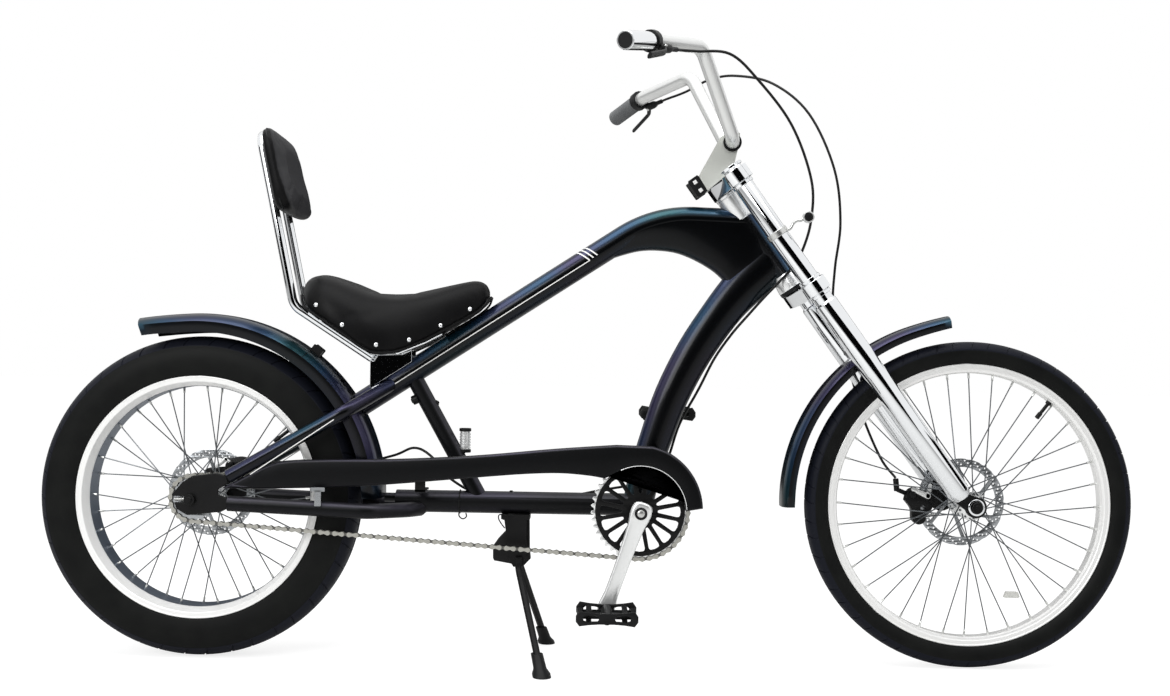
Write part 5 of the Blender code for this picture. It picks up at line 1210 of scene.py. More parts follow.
def headTube():
    # tube, both headset cups and the seal under it, as radius and height along the steering axis
    profile = [(0.0168, -0.2297), (0.0243, -0.2297), (0.0248, -0.229), (0.0248, -0.221), (0.024, -0.22),
               (0.0245, -0.215), (0.022, -0.21), (0.022, -0.032), (0.0243, -0.0285), (0.0247, -0.02),
               (0.0243, -0.0163), (0.0168, -0.0163)]
    dress(solid("head_tube_smooth", lathe(profile, steering, 64), sharp=30), "root", enamel, "frame_paint",
          "head_tube")
    sleeve = lathe([(0.0222, -0.07), (0.0232, -0.07), (0.0252, -0.068), (0.0252, -0.0225), (0.0262, -0.0215),
                    (0.0262, -0.0175), (0.0256, -0.0168), (0.0222, -0.0168)], steering, 64)
    cone = lathe([(0.0215, -0.193), (0.0232, -0.193), (0.025, -0.199), (0.0276, -0.2165), (0.0282, -0.22),
                  (0.0276, -0.2212), (0.0215, -0.2212)], steering, 64)
    dress(solid("headset_cups", sleeve, cone, sharp=30), "root", polishedAlloy, "polished_aluminium")
    seal = lathe([(0.0215, -0.2214), (0.0278, -0.2214), (0.0278, -0.2262), (0.027, -0.2288), (0.0215, -0.2288)],
                 steering, 64)
    dress(solid("headset_seal", seal, sharp=30), "root", moulding, "black_plastic")


headTube()
print("frame tubes made")


# fenders

rearFender = {"name": "rear_fender_sheet", "node": "rear_fender", "radius": 0.328, "half": 0.0545, "skirt": 0.034,
              "start": 0.5, "end": 109.5, "flare": 0.009, "body": "root"}
frontFender = {"name": "front_fender_sheet", "node": "front_fender", "radius": 0.338, "half": 0.036,
               "skirt": 0.022, "start": 181.5, "end": 97.3, "flare": 0.004, "body": "steering"}


def crownDrop(half, share):
    # how far a fender's section falls away from its middle
    return -0.275 * half * share ** 4


def fender(spec, centre):
    half, skirt, sheet = spec["half"], spec["skirt"], 0.0018
    section = [(s * half, crownDrop(half, s)) for s in (-1 + i / 14 for i in range(29))]
    outside = [(-half + 0.0004, -skirt), (-half, -skirt + 0.0006)] + section
    outside += [(half, -skirt + 0.0006), (half - 0.0004, -skirt)]
    inside = [(y * (half - sheet) / half, b - sheet) for y, b in section]
    inside = [(-half + sheet, -skirt)] + inside + [(half - sheet, -skirt)]
    rings = []
    steps, corner = 96, 4
    for i in range(steps + 1):
        share = i / steps
        out = outward(math.radians(spec["start"] + (spec["end"] - spec["start"]) * share))
        lift = spec["flare"] * max(0.0, (share - 0.85) / 0.15) ** 2
        # the ends' corners are rounded off
        ease = min(share, 1 - share) * steps
        tuck = 0.0 if ease > corner else (1 - ease / corner) ** 2 * 0.1
        rings.append([centre + out * (spec["radius"] + lift + b) + Vector((0, y * (1 - tuck), 0))
                      for y, b in outside + inside[::-1]])
    dress(solid(spec["name"], skin(rings), sharp=45), spec["body"], enamel, "frame_paint", spec["node"])


fender(rearFender, rearAxle)
fender(frontFender, frontAxle)


fenderTrim = {"angle": 52.6, "seam": 53.6, "block": (0.0085, 0.012, 0.0125), "bridge": (0.02, 0.049, 0.0068)}


def fenderBridge():
    # bar between the fork legs that carries the front fender
    ahead, half, radius = fenderTrim["bridge"]
    fromAxle = frontFender["radius"] + 0.0061
    z = frontLocal.z + math.sqrt(fromAxle ** 2 - (frontLocal.x - ahead) ** 2)
    bar = rod(steering @ Vector((ahead, -half, z)), steering @ Vector((ahead, half, z)), radius, 24)
    dress(solid("front_fender_bridge", bar), "steering", powderCoat, "frame_paint")


fenderBridge()


def rearFenderTrim():
    # clamp block on top of the rear fender, and the dark joint line beside it
    out = outward(math.radians(fenderTrim["angle"]))
    way = Vector((-out.z, 0, out.x))
    foot = rearAxle + out * (rearFender["radius"] - 0.001)
    place = Matrix(((way.x, 0, out.x, foot.x), (0, 1, 0, 0), (way.z, 0, out.z, foot.z), (0, 0, 0, 1)))
    a, b, c = fenderTrim["block"]
    clamp = solid("rear_fender_clamp", block((-a, -b, 0.0), (a, b, c), place, 0.0015))
    dress(clamp, "root", powderCoat, "coated_steel")
    half = rearFender["half"]
    rings = []
    for s in (-1 + i / 15 for i in range(31)):
        ring = []
        for degrees, lift in ((-0.1, -0.0004), (0.1, -0.0004), (0.1, 0.0003), (-0.1, 0.0003)):
            out = outward(math.radians(fenderTrim["seam"] + degrees))
            aside = Vector((0, s * half * (1 + lift / half), 0))
            ring.append(rearAxle + out * (rearFender["radius"] + crownDrop(half, s) + lift) + aside)
        rings.append(ring)
    dress(solid("rear_fender_seam", skin(rings)), "root", moulding, "frame_paint")


rearFenderTrim()
print("fenders made")


# chain guard: a shell open towards the wheel

guardShape = {
    "inner": -0.0675, "outer": -0.084, "front": 0.1135, "cut": 0.08, "line": (0.0812, 0.0007),
    "top": ((-0.64, 0.3075), (-0.6, 0.329), (-0.565, 0.347), (-0.53, 0.357), (-0.445, 0.361), (-0.345, 0.363),
            (-0.2013, 0.3715), (-0.0574, 0.3859), (0.05, 0.3946)),
    "lower": ((0.03, 0.3359), (0.0007, 0.3404), (-0.0495, 0.3437), (-0.1107, 0.3411), (-0.1825, 0.3347),
              (-0.345, 0.319), (-0.45, 0.312), (-0.5767, 0.307)),
    # rounding of the edge: distance inside the outline, and distance from the outer face
    "edge": ((0.0, 0.005), (0.0004, 0.0033), (0.0014, 0.0018), (0.0029, 0.0006), (0.0048, 0.0)),
    "hollow": ((0.002, 0.0058), (0.004, 0.003), (0.0058, 0.0022)),
}


def guardOutline():
    front = arc((crankAxis.x - 0.004, crankAxis.z + 0.004), guardShape["front"], 78, 2, 40)
    cut = arc((crankAxis.x, crankAxis.z), guardShape["cut"], 2, 118, 50)
    return smoothOutline(guardShape["top"], 4) + front + cut + smoothOutline(guardShape["lower"], 4)


def chainGuard():
    inner, outer = guardShape["inner"], guardShape["outer"]
    outline = guardOutline()

    def level(distance, y):
        return [Vector((x, y, z)) for x, z in inset(outline, distance)]

    outside = [level(0.0, inner)] + [level(a, outer + b) for a, b in guardShape["edge"]]
    inside = [level(0.0018, inner)] + [level(a, outer + b) for a, b in guardShape["hollow"]]
    shell = solid("chain_guard_shell", skin(outside[::-1] + inside), sharp=40)
    work = bmesh.new()
    work.from_mesh(shell.data)
    bmesh.ops.triangulate(work, faces=[f for f in work.faces if len(f.verts) > 4])
    work.to_mesh(shell.data)
    work.free()
    dress(shell, "root", satinEnamel, "frame_paint", "chain_guard")
    radius, wire = guardShape["line"]
    foot = Vector((crankAxis.x, outer + 0.0004, crankAxis.z))
    edge = [foot + outward(math.radians(4 + 112 * i / 60)) * radius for i in range(61)]
    dress(solid("guard_edge_line", tube(edge, wire, 8)), "root", polishedAlloy, "frame_paint")


chainGuard()
print("guard made")


# fork

forkShape = {"ahead": 0.02, "side": 0.068, "stanchion": 0.018, "leg": 0.0205, "upper": -0.004, "lower": -0.242,
             "thick": 0.024,
             # collars by each crown: height over its middle, length, and how proud of the tube
             "collars": (("upper", 0.0165, 0.005, 0.003), ("upper", -0.02, 0.006, 0.0022),
                         ("lower", 0.0135, 0.0055, 0.0024), ("lower", -0.019, 0.006, 0.0028))}


def fork():
    top = forkShape["upper"] + forkShape["thick"] / 2 + 0.006
    lowerTop = forkShape["lower"] - 0.03
    bottom = frontLocal.z + 0.03
    r, legR = forkShape["stanchion"], forkShape["leg"]
    for side, label in bothSides:
        place = steering @ Matrix.Translation((forkShape["ahead"], side * forkShape["side"], 0))
        profile = [(0.0001, top), (r - 0.004, top), (r - 0.0012, top - 0.0008), (r - 0.0002, top - 0.0025),
                   (r - 0.0002, lowerTop), (legR - 0.001, lowerTop - 0.0022), (legR, lowerTop - 0.0045),
                   (legR, bottom + 0.014), (legR - 0.0015, bottom + 0.0105), (0.016, bottom + 0.003),
                   (0.0135, bottom + 0.0003), (0.0001, bottom + 0.0003)]
        leg = solid("fork_leg_%s_tube" % label, lathe(profile, place, 48, closed=False), sharp=35)
        dress(leg, "steering", chrome, "chrome", "fork_leg_" + label)
        rings = []
        for crown, above, h, proud in forkShape["collars"]:
            z, radius = forkShape[crown] + above, r + proud
            rings.append(lathe(collar(r - 0.0004, radius, z, z + h, 0.0006), place, 48))
        dress(solid("fork_collars_" + label, *rings), "steering", chrome, "chrome")
        cap = lathe([(0.0001, top + 0.0042), (0.008, top + 0.004), (0.0095, top + 0.0028), (0.01, top - 0.001),
                     (0.0001, top - 0.001)], place, 32, closed=False)
        dress(solid("fork_cap_" + label, cap), "steering", powderCoat, "coated_steel")
        cadCopy("fork_dropout_" + label, "fork_dropout_%s_lug" % label, "steering", powderCoat, "coated_steel",
                0.0015, 32)
    for crown in ("upper_crown", "lower_crown"):
        cadCopy(crown, crown + "_plate", "steering", chrome, "chrome", 0.0018, 30)
    cadCopy("front_axle", "front_axle_nuts", "steering", powderCoat, "grey_steel", 0.0005, 30)
    cadCopy("rear_axle", "rear_axle_nuts", "root", powderCoat, "grey_steel", 0.0005, 30)


fork()


def axleTrim():
    # washers at the front nuts, and the threaded ends of the chain adjusters in the rear slots
    washers, rings, studs = [], [], []
    for side, label in bothSides:
        low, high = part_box("fork_dropout_" + label)
        face = high.y if side > 0 else low.y
        place = Matrix.Translation((frontAxle.x, face, frontAxle.z)) @ Matrix.Rotation(-side * math.pi / 2, 4, "X")
        for made, bore, radius, height in ((washers, 0.0062, 0.0112, 0.0024), (rings, 0.0114, 0.0146, 0.002)):
            ease = 0.0006 if made is washers else 0.0008
            made.append(lathe([(bore, 0.0), (radius, 0.0), (radius, height - 0.0006), (radius - ease, height),
                               (bore, height)], place, 40))
        turned = Matrix.Translation((-0.7225, side * 0.078, rearAxle.z)) @ Matrix.Rotation(math.pi / 2, 4, "Y")
        profile = [(0.0001, 0.0)]
        for i in range(9):
            profile += [(0.0028, 0.0003 + 0.0021 * i), (0.0035, 0.0009 + 0.0021 * i), (0.0035, 0.0016 + 0.0021 * i)]
        studs.append(lathe(profile + [(0.0028, 0.0192), (0.0001, 0.0192)], turned, 20, closed=False))
    dress(solid("front_axle_washers", *washers), "steering", powderCoat, "coated_steel")
    dress(solid("front_axle_rings", *rings), "steering", chrome, "chrome")
    dress(solid("chain_adjusters", *studs), "root", zincSteel, "grey_steel")


axleTrim()

guide = {"arm": ((0.336, -0.069, 0.778), (0.348, -0.069, 0.7795), (0.353, -0.0695, 0.788),
                 (0.359, -0.07, 0.7935), (0.368, -0.07, 0.795), (0.3725, -0.07, 0.8005)),
         "disc": (0.38, -0.07, 0.8005), "radius": 0.01, "half": 0.005}


def cableGuide():
    # round guide on a bent rod from the right fork leg, and its cuff round the leg
    place = steering @ Matrix.Translation((forkShape["ahead"], -forkShape["side"], 0))
    r = forkShape["stanchion"]
    cuff = lathe([(r - 0.0004, -0.133), (r + 0.0012, -0.133), (r + 0.0018, -0.1322), (r + 0.0018, -0.1228),
                  (r + 0.0012, -0.122), (r - 0.0004, -0.122)], place, 48)
    path = smoothPath(guide["arm"], 6)
    centre = Vector(guide["disc"])
    radius, half = guide["radius"], guide["half"]
    ring = lathe(collar(radius - 0.0022, radius, -half, half, 0.0006), onAxle(centre), 40)
    dress(solid("cable_guide_arm", cuff, tube(path, 0.0024, 12), sharp=35), "steering", zincSteel, "chrome")
    dress(solid("cable_guide_rim", ring, sharp=35), "steering", satinAlloy, "chrome")
    reach = Vector((0, half - 0.0006, 0))
    plug = rod(centre - reach, centre + reach, radius - 0.0023, 32, 0.0005)
    dress(solid("cable_guide_plug", plug), "steering", moulding, "black_plastic")


cableGuide()
print("fork made")


# handlebar, stem, grips and levers

barShape = {"radius": 0.0125, "end": (0.0472, 0.327, 1.043), "grip": (0.099, 0.229, 1.066),
            "top": (0.183, 0.118, 1.0854), "foot": (0.249, 0.046, 0.937), "clamp": (0.249, 0, 0.937), "corner": 0.032}


def mirrored(point, side):
    return Vector((point[0], side * point[1], point[2]))


def cockpit():
    half = [barShape["end"], barShape["grip"], barShape["top"], barShape["foot"]]
    corners = [mirrored(p, -1) for p in half] + [mirrored(p, 1) for p in reversed(half)]
    path = roundedPath(corners, barShape["corner"], 12)
    bar = solid("handlebar_tube", tube(path, barShape["radius"], 32, up=(0, 0, 1)), sharp=50)
    dress(bar, "steering", satinAlloy, "chrome", "handlebar")
    cadCopy("stem", "stem_block", "steering", castAlloy, "polished_aluminium", 0.002, 30)
    cap = block((-0.049, -0.0235, 0.009), (-0.0303, 0.0235, 0.04), steering, 0.0016)
    dress(solid("stem_end_cap", cap), "steering", moulding, "polished_aluminium")
    bolts = []
    for z in (0.0155, 0.033):
        for y0, y1 in ((-0.0252, -0.023), (0.023, 0.0252)):
            bolts.append(block((-0.043, y0, z - 0.003), (-0.037, y1, z + 0.003), steering, 0.0004))
    dress(solid("stem_bolts", *bolts), "steering", rimAlloy, "grey_steel")
    place = onAxle(barShape["clamp"])
    sleeves = [lathe([(0.0126, y0), (0.0156, y0), (0.0164, y0 + 0.001), (0.0164, y0 + 0.0052), (0.0156, y0 + 0.0062),
                      (0.0126, y0 + 0.0062)], place, 40) for y0 in (-0.0306, 0.0244)]
    dress(solid("bar_clamp_sleeves", *sleeves), "steering", moulding, "black_plastic")
    for side, label in bothSides:
        outer, inner = mirrored(barShape["end"], side), mirrored(barShape["grip"], side)
        along = (outer - inner).normalized()
        start, end = outer - along * 0.0865, outer + along * 0.003
        turn = along.to_track_quat("Z", "Y").to_matrix().to_4x4()
        place = Matrix.Translation(start) @ turn
        length = (end - start).length
        radius = 0.0154
        profile = [(0.0127, 0.0005), (radius - 0.0008, 0.0005), (radius, 0.0015)]
        if side > 0:
            # only the left grip is ribbed
            for i in range(14):
                z = 0.006 + i * 0.0056
                profile += [(radius, z), (radius - 0.0008, z + 0.0008), (radius - 0.0008, z + 0.002),
                            (radius, z + 0.0028)]
        profile += [(radius, length - 0.0015), (radius - 0.001, length - 0.0004), (0.0127, length - 0.0004)]
        grip = solid("grip_%s_sleeve" % label, lathe(profile, place, 48), sharp=30)
        dress(grip, "steering", gripRubber if side > 0 else chrome, "moulded_rubber", "grip_" + label)
        plug = lathe([(0.0001, length - 0.0012), (0.0126, length - 0.0012), (0.0126, length - 0.006),
                      (0.0001, length - 0.006)], place, 40, closed=False)
        dress(solid("bar_plug_" + label, plug), "steering", moulding, "black_plastic")
        ahead = Vector((0.86, 0, -0.5)).normalized()
        hinge = inner + along * 0.0185 + ahead * 0.024
        over = ahead.cross(along).normalized()
        screw = rod(hinge - over * 0.0078, hinge + over * 0.0078, 0.003, 20, 0.0006)
        dress(solid("lever_%s_hinge" % label, screw), "steering", zincSteel, "grey_steel")
        cadCopy("brake_lever_" + label, "brake_lever_%s_body" % label, "steering", moulding, "coated_steel", 0.0008, 40)


cockpit()
for name, body, surface, slotName in (
        ("stand_bracket", "root", powderCoat, "coated_steel"),
        ("stand_legs", "stand", powderCoat, "coated_steel"), ("stand_foot_right", "stand", moulding, "moulded_rubber"),
        ("stand_foot_left", "stand", moulding, "moulded_rubber")):
    cadCopy(name, name + "_detail", body, surface, slotName, 0.0006, 40)
print("cockpit made")

# brake calipers: outline, bolts and links are x and z from the axle, with a radius where there are three
# numbers; barrel and arm are x, y and z; inner, outer, adapterY and linkY are spans along the axle
calipers = {
    "front": {
        "body": "steering", "inner": (0.0315, 0.0384), "outer": (0.0438, 0.0505), "clear": 0.0845,
        "outline": ((-0.104, 0.002), (-0.099, 0.018), (-0.088, 0.025), (-0.076, 0.022), (-0.066, 0.014),
                    (-0.052, 0.002), (-0.054, -0.012), (-0.062, -0.024), (-0.068, -0.038), (-0.08, -0.042),
                    (-0.09, -0.033), (-0.092, -0.014)),
        "hole": (-0.07, -0.012, 0.0052),
        "bolts": ((-0.0815, -0.0315, 0.0058), (-0.0905, 0.013, 0.0062)),
        "links": (((-0.09, 0.0225, 0.0036), (-0.063, 0.0105, 0.005)),
                  ((-0.063, 0.0105, 0.0042), (-0.059, 0.03, 0.0032)),
                  ((-0.064, -0.027, 0.0026), (-0.053, -0.0225, 0.0026))),
        "adapter": ((-0.064, 0.036), (-0.048, 0.04), (-0.02, 0.01), (-0.016, -0.01), (-0.034, -0.018),
                    (-0.052, -0.01), (-0.066, 0.006)),
        "adapterY": (0.047, 0.0545),
        "barrel": ((-0.1172, 0.052, 0.04), (-0.115, 0.051, 0.017)),
        "arm": ((-0.115, 0.0475, 0.02), (-0.098, 0.0475, 0.013)),
        "linkY": (0.027, 0.0315),
    },
    "rear": {
        "body": "root", "inner": (0.0492, 0.0526), "outer": (0.0576, 0.0668), "clear": 0.0845,
        "outline": ((0.024, 0.04), (0.026, 0.054), (0.036, 0.063), (0.052, 0.066), (0.068, 0.062), (0.08, 0.052),
                    (0.078, 0.043), (0.062, 0.036), (0.042, 0.034)),
        "hole": (0.05, 0.05, 0.0045),
        "bolts": ((0.036, 0.053, 0.0048), (0.066, 0.051, 0.0048)),
        "links": (((0.01, 0.048, 0.003), (0.0265, 0.062, 0.004)),
                  ((0.0265, 0.062, 0.0028), (0.034, 0.056, 0.0028))),
        "adapter": ((-0.018, 0.033), (-0.012, 0.043), (0.01, 0.046), (0.034, 0.046), (0.038, 0.036), (0.012, 0.03)),
        "adapterY": (0.058, 0.066),
        "barrel": ((0.0835, 0.0612, 0.059), (0.069, 0.0612, 0.053)),
        "arm": ((0.072, 0.0622, 0.054), (0.06, 0.0622, 0.052)),
        "linkY": (0.0455, 0.0492),
    },
}


def caliper(label, centre, spec):
    clear, (linkLow, linkHigh) = spec["clear"], spec["linkY"]

    def put(points):
        return [(centre.x + x, centre.z + z) for x, z in points]

    def fromAxle(point):
        return math.dist(point, (centre.x, centre.z))

    def bar(key, radius, sides, ease):
        start, end = (Vector((centre.x + x, y, centre.z + z)) for x, y, z in spec[key])
        return rod(start, end, radius, sides, ease)

    curve = put(smoothOutline(spec["outline"], 5, closed=True))
    x, z, radius = spec["hole"]
    hole = ringOf(centre + Vector((x, 0, z)), radius, 24)
    shapes = [plate(curve, [hole], *spec["inner"], 0.0009), plate(curve, [hole], *spec["outer"], 0.0012)]
    # bridge over the rotor's rim, from the stretch of the outline that lies outside it
    split = next(i for i in range(1, len(curve)) if fromAxle(curve[i]) > clear >= fromAxle(curve[i - 1]))
    run = []
    for p in curve[split:] + curve[:split]:
        if fromAxle(p) <= clear:
            break
        run.append(p)
    first, last = (math.atan2(p[1] - centre.z, p[0] - centre.x) for p in (run[-1], run[0]))
    turn = (last - first + math.pi) % (2 * math.pi) - math.pi
    back = [around(centre, clear, first + turn * i / 10) for i in range(11)]
    shapes.append(plate(run + back, [], spec["inner"][0] + 0.001, spec["outer"][1] - 0.001, 0.0004))
    shapes.append(plate(put(smoothOutline(spec["adapter"], 3, closed=True)), [], *spec["adapterY"], 0.001))
    shapes += [bar("barrel", 0.0052, 20, 0.0008), bar("arm", 0.0042, 16, 0.0006)]
    dress(solid(label + "_caliper_body", *shapes, sharp=35), spec["body"], powderCoat, "coated_steel",
          label + "_caliper")
    bright = []
    for (x0, z0, r0), (x1, z1, r1) in spec["links"]:
        along = math.degrees(math.atan2(z1 - z0, x1 - x0))
        outline = arc((x0, z0), r0, along + 90, along + 270, 10) + arc((x1, z1), r1, along - 90, along + 90, 10)
        bright.append(plate(put(outline), [], linkLow + 0.0008, linkHigh + 0.0006, 0.0006))
    dress(solid(label + "_caliper_links", *bright, sharp=35), spec["body"], satinAlloy, "grey_steel")
    heads = []
    outer = spec["outer"][1]
    for x, z, radius in spec["bolts"]:
        for low, high, r, ease in ((linkLow, linkHigh + 0.0004, radius, 0.0008),
                                   (outer - 0.0004, outer + 0.0012, radius * 0.8, 0.0005)):
            heads.append(rod((centre.x + x, low, centre.z + z), (centre.x + x, high, centre.z + z), r, 24, ease))
    dress(solid(label + "_caliper_bolts", *heads, sharp=35), spec["body"], moulding, "coated_steel")


caliper("front", frontAxle, calipers["front"])
caliper("rear", rearAxle, calipers["rear"])
print("calipers made")


def canister():
    # ribbed silver cylinder between a black base and a black cap, on its arm from the strut
    low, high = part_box("canister")
    centre = Vector((-0.2225, 0.0, 0.0))
    base, top = low.z, high.z
    ribs = [(0.0001, base + 0.0055), (0.0088, base + 0.0055)]
    z = base + 0.0075
    while z < top - 0.0095:
        ribs += [(0.0099, z), (0.0099, z + 0.0022), (0.0088, z + 0.003), (0.0088, z + 0.004)]
        z += 0.0048
    ribs += [(0.0088, top - 0.0055), (0.0001, top - 0.0055)]
    place = Matrix.Translation(centre)
    dress(solid("canister_body", lathe(ribs, place, 48, closed=False), sharp=30), "root", polishedAlloy,
          "polished_aluminium", "canister")
    ends = [lathe(collar(0.0001, 0.0108, a, b, 0.0008), place, 48, closed=False)
            for a, b in ((base, base + 0.0058), (top - 0.0058, top))]
    arm = block((-0.244, -0.0055, base - 0.0012), (-0.2225, 0.0055, base + 0.0022))
    dress(solid("canister_ends", *ends, arm, sharp=30), "root", moulding, "black_plastic")


canister()


standBody = {
    "outline": ((-0.142, 0.264), (-0.1035, 0.264), (-0.102, 0.2), (-0.1, 0.183), (-0.113, 0.169),
                (-0.131, 0.1725), (-0.166, 0.1785), (-0.168, 0.183), (-0.1684, 0.2045), (-0.159, 0.218),
                (-0.146, 0.232), (-0.1425, 0.245)),
    "half": 0.01,
}


def standTrim():
    # return spring of the stand, and the tie that holds the cable to the lower tube
    wire = smoothPath([(-0.14, -0.0235, 0.2625), (-0.156, -0.0235, 0.2632), (-0.158, -0.0235, 0.256),
                       (-0.153, -0.0235, 0.247), (-0.1466, -0.0235, 0.239)], 6)
    dress(solid("stand_spring", tube(wire, 0.0011, 8)), "root", powderCoat, "grey_steel")
    # stop plate in the bracket's middle, out behind the pivot, between the two legs
    dress(solid("stand_stop", plate(standBody["outline"], [], -standBody["half"], standBody["half"], 0.002)), "root",
          powderCoat, "coated_steel")
    low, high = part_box("lower_tube")
    half = (high.y - low.y) / 2 + 0.0012
    middle = (low.z + high.z) / 2
    ring = [(-0.2296, half * math.cos(t), middle + ((high.z - low.z) / 2 + 0.0012) * math.sin(t))
            for t in turns(40)]
    tail = smoothPath([(-0.2296, -half * 0.7, middle - 0.0145), (-0.23, -half * 0.6, middle - 0.0245),
                       (-0.2235, -half * 0.5, middle - 0.03), (-0.217, -half * 0.5, middle - 0.026),
                       (-0.218, -half * 0.5, middle - 0.0195)], 6)
    tie = solid("cable_tie", tube(ring, 0.0012, 8, loop=True, up=(1, 0, 0)), tube(tail, 0.0012, 8))
    dress(tie, "root", cableJacket, "black_plastic")


standTrim()


# saddle and backrest

saddleEdge = {"x": -0.38, "z": 0.548, "slope": 0.644}     # where its straight rear edge starts, and its rise


def edgeLine(x):
    return saddleEdge["z"] + (saddleEdge["x"] - x) * saddleEdge["slope"]


saddleShape = {
    # x, top, edge and half width of each section
    "stations": ((-0.513, 0.672, 0.646, 0.05), (-0.5, 0.684, edgeLine(-0.5), 0.088),
                 (-0.47, 0.688, edgeLine(-0.47), 0.112), (-0.43, 0.674, edgeLine(-0.43), 0.12),
                 (-0.38, 0.6545, 0.548, 0.112), (-0.335, 0.6525, 0.55, 0.094), (-0.29, 0.661, 0.57, 0.072),
                 (-0.245, 0.674, 0.596, 0.054), (-0.205, 0.684, 0.62, 0.043), (-0.186, 0.678, 0.636, 0.032),
                 (-0.179, 0.666, 0.65, 0.016)),
    "shrink": 0.985, "voxel": 0.0052, "pressure": 2.0, "most": 0.004, "calm": 16,
    # studs as x and height over the edge, and their radius
    "studs": ((-0.476, 0.02), (-0.428, 0.017), (-0.37, 0.014), (-0.316, 0.014), (-0.264, 0.014), (-0.214, 0.015)),
    "stud": 0.0046,
}


def saddleRings():
    rings = []
    for x, top, edge, half in smoothRows(saddleShape["stations"], 4):
        ring = []
        for t in turns(48):
            c, s = math.cos(t), math.sin(t)
            a = math.copysign(abs(c) ** 0.62, c)
            # domed above the edge, hollow under it
            b = abs(s) ** 0.8 if s >= 0 else -0.03 * abs(s) + 0.3 * max(0.0, 1 - (a / 0.86) ** 2)
            ring.append(Vector((x, a * half, edge + max(b, 0.0) * (top - edge))))
        rings.append(ring)
    return rings


def smoothRows(rows, perSpan):
    # smooths x, top and edge together, and the width beside them
    first = smoothPath([Vector(r[:3]) for r in rows], perSpan)
    second = smoothPath([Vector((r[0], r[3], 0)) for r in rows], perSpan)
    return [(a.x, a.y, a.z, b.y) for a, b in zip(first, second)]


clothSettings = {"quality": 6, "mass": 0.3, "tension_stiffness": 15, "compression_stiffness": 15,
                 "bending_stiffness": 0.6, "use_pressure": True, "vertex_group_mass": "held"}
clothFrames = 20


def inflate(piece, spec, isHeld):
    # fabric pass: remesh, blow up with the held points pinned, and keep each point near where it started
    centre = sum((v.co for v in piece.data.vertices), Vector()) / len(piece.data.vertices)
    for v in piece.data.vertices:
        v.co = centre + (v.co - centre) * spec["shrink"]
    remesh = piece.modifiers.new("even mesh", "REMESH")
    remesh.mode = "VOXEL"
    remesh.voxel_size = spec["voxel"]
    calm(piece, spec["calm"])
    applied = shapeOf(piece)
    piece.modifiers.clear()
    piece.data = applied
    start = [v.co.copy() for v in applied.vertices]
    held = piece.vertex_groups.new(name="held")
    held.add([i for i, co in enumerate(start) if isHeld(co)], 1.0, "REPLACE")
    cloth = piece.modifiers.new("cover", "CLOTH")
    settings = cloth.settings
    for key, value in clothSettings.items():
        setattr(settings, key, value)
    settings.uniform_pressure_force = spec["pressure"]
    settings.effector_weights.gravity = 0.0
    cloth.point_cache.frame_start, cloth.point_cache.frame_end = 1, clothFrames
    for frameNumber in range(1, clothFrames + 1):
        scene.frame_set(frameNumber)
    shaped = shapeOf(piece)
    scene.frame_set(1)
    piece.modifiers.clear()
    piece.vertex_groups.clear()
    most = spec["most"]
    for v, before in zip(shaped.vertices, start):
        step = v.co - before
        if step.length > most:
            v.co = before + step.normalized() * most
    piece.data = shaped
    shaped.shade_smooth()
    calm(piece, 4)
    smooth = piece.modifiers.new("fine cover", "SUBSURF")
    smooth.levels = smooth.render_levels = 1


def calm(piece, times):
    # evens out the steps that the voxels leave
    even = piece.modifiers.new("calm %d" % times, "SMOOTH")
    even.factor = 0.5
    even.iterations = times


def sideHit(piece, x, z, sign):
    # where a line from the side first meets the piece, with the surface's direction there
    view = bpy.context.evaluated_depsgraph_get()
    hit, at, normal, index = piece.evaluated_get(view).ray_cast(Vector((x, sign * 0.4, z)), Vector((0, -sign, 0)))
    return (at, normal) if hit else (None, None)


def saddle():
    made = solid("saddle_cover", skin(saddleRings()), sharp=60)
    studs = [Vector((x, 0, edgeAt(x) + rise)) for x, rise in saddleShape["studs"]]

    def isHeld(co):
        isNearEdge = co.z < edgeAt(co.x) + 0.006
        isNearStud = any((co - at - Vector((0, co.y, 0))).length < 0.007 for at in studs)
        return isNearEdge or isNearStud

    inflate(made, saddleShape, isHeld)
    dress(made, "root", vinyl, "black_leather", "saddle")
    domes = []
    r = saddleShape["stud"]
    profile = [(0.0001, 0.0024), (r * 0.35, 0.0022), (r * 0.68, 0.0015), (r * 0.9, 0.0004), (r * 0.95, -0.0012),
               (0.0001, -0.0012)]
    for sign in (-1, 1):
        for at in studs:
            spot, normal = sideHit(made, at.x, at.z, sign)
            if spot is None:
                continue
            place = Matrix.Translation(spot) @ normal.to_track_quat("Z", "Y").to_matrix().to_4x4()
            domes.append(lathe(profile, place, 24, closed=False))
    dress(solid("saddle_studs", *domes), "root", chrome, "chrome")
    line = [(x, half * 0.985, edge + 0.0024) for x, top, edge, half in smoothRows(saddleShape["stations"], 4)]
    hem = [(x, -y, z) for x, y, z in line] + line[::-1]
    dress(solid("saddle_hem", tube(hem, 0.0021, 8, loop=True, up=(0, 0, 1))), "root", vinyl, "black_leather")


def edgeAt(x):
    rows = saddleShape["stations"]
    for a, b in zip(rows, rows[1:]):
        if x <= b[0]:
            return a[2] + (b[2] - a[2]) * (x - a[0]) / (b[0] - a[0])
    return rows[-1][2]


saddle()
cadCopy("saddle_pan", "saddle_pan_edge", "root", chrome, "chrome", 0.0005, 30)

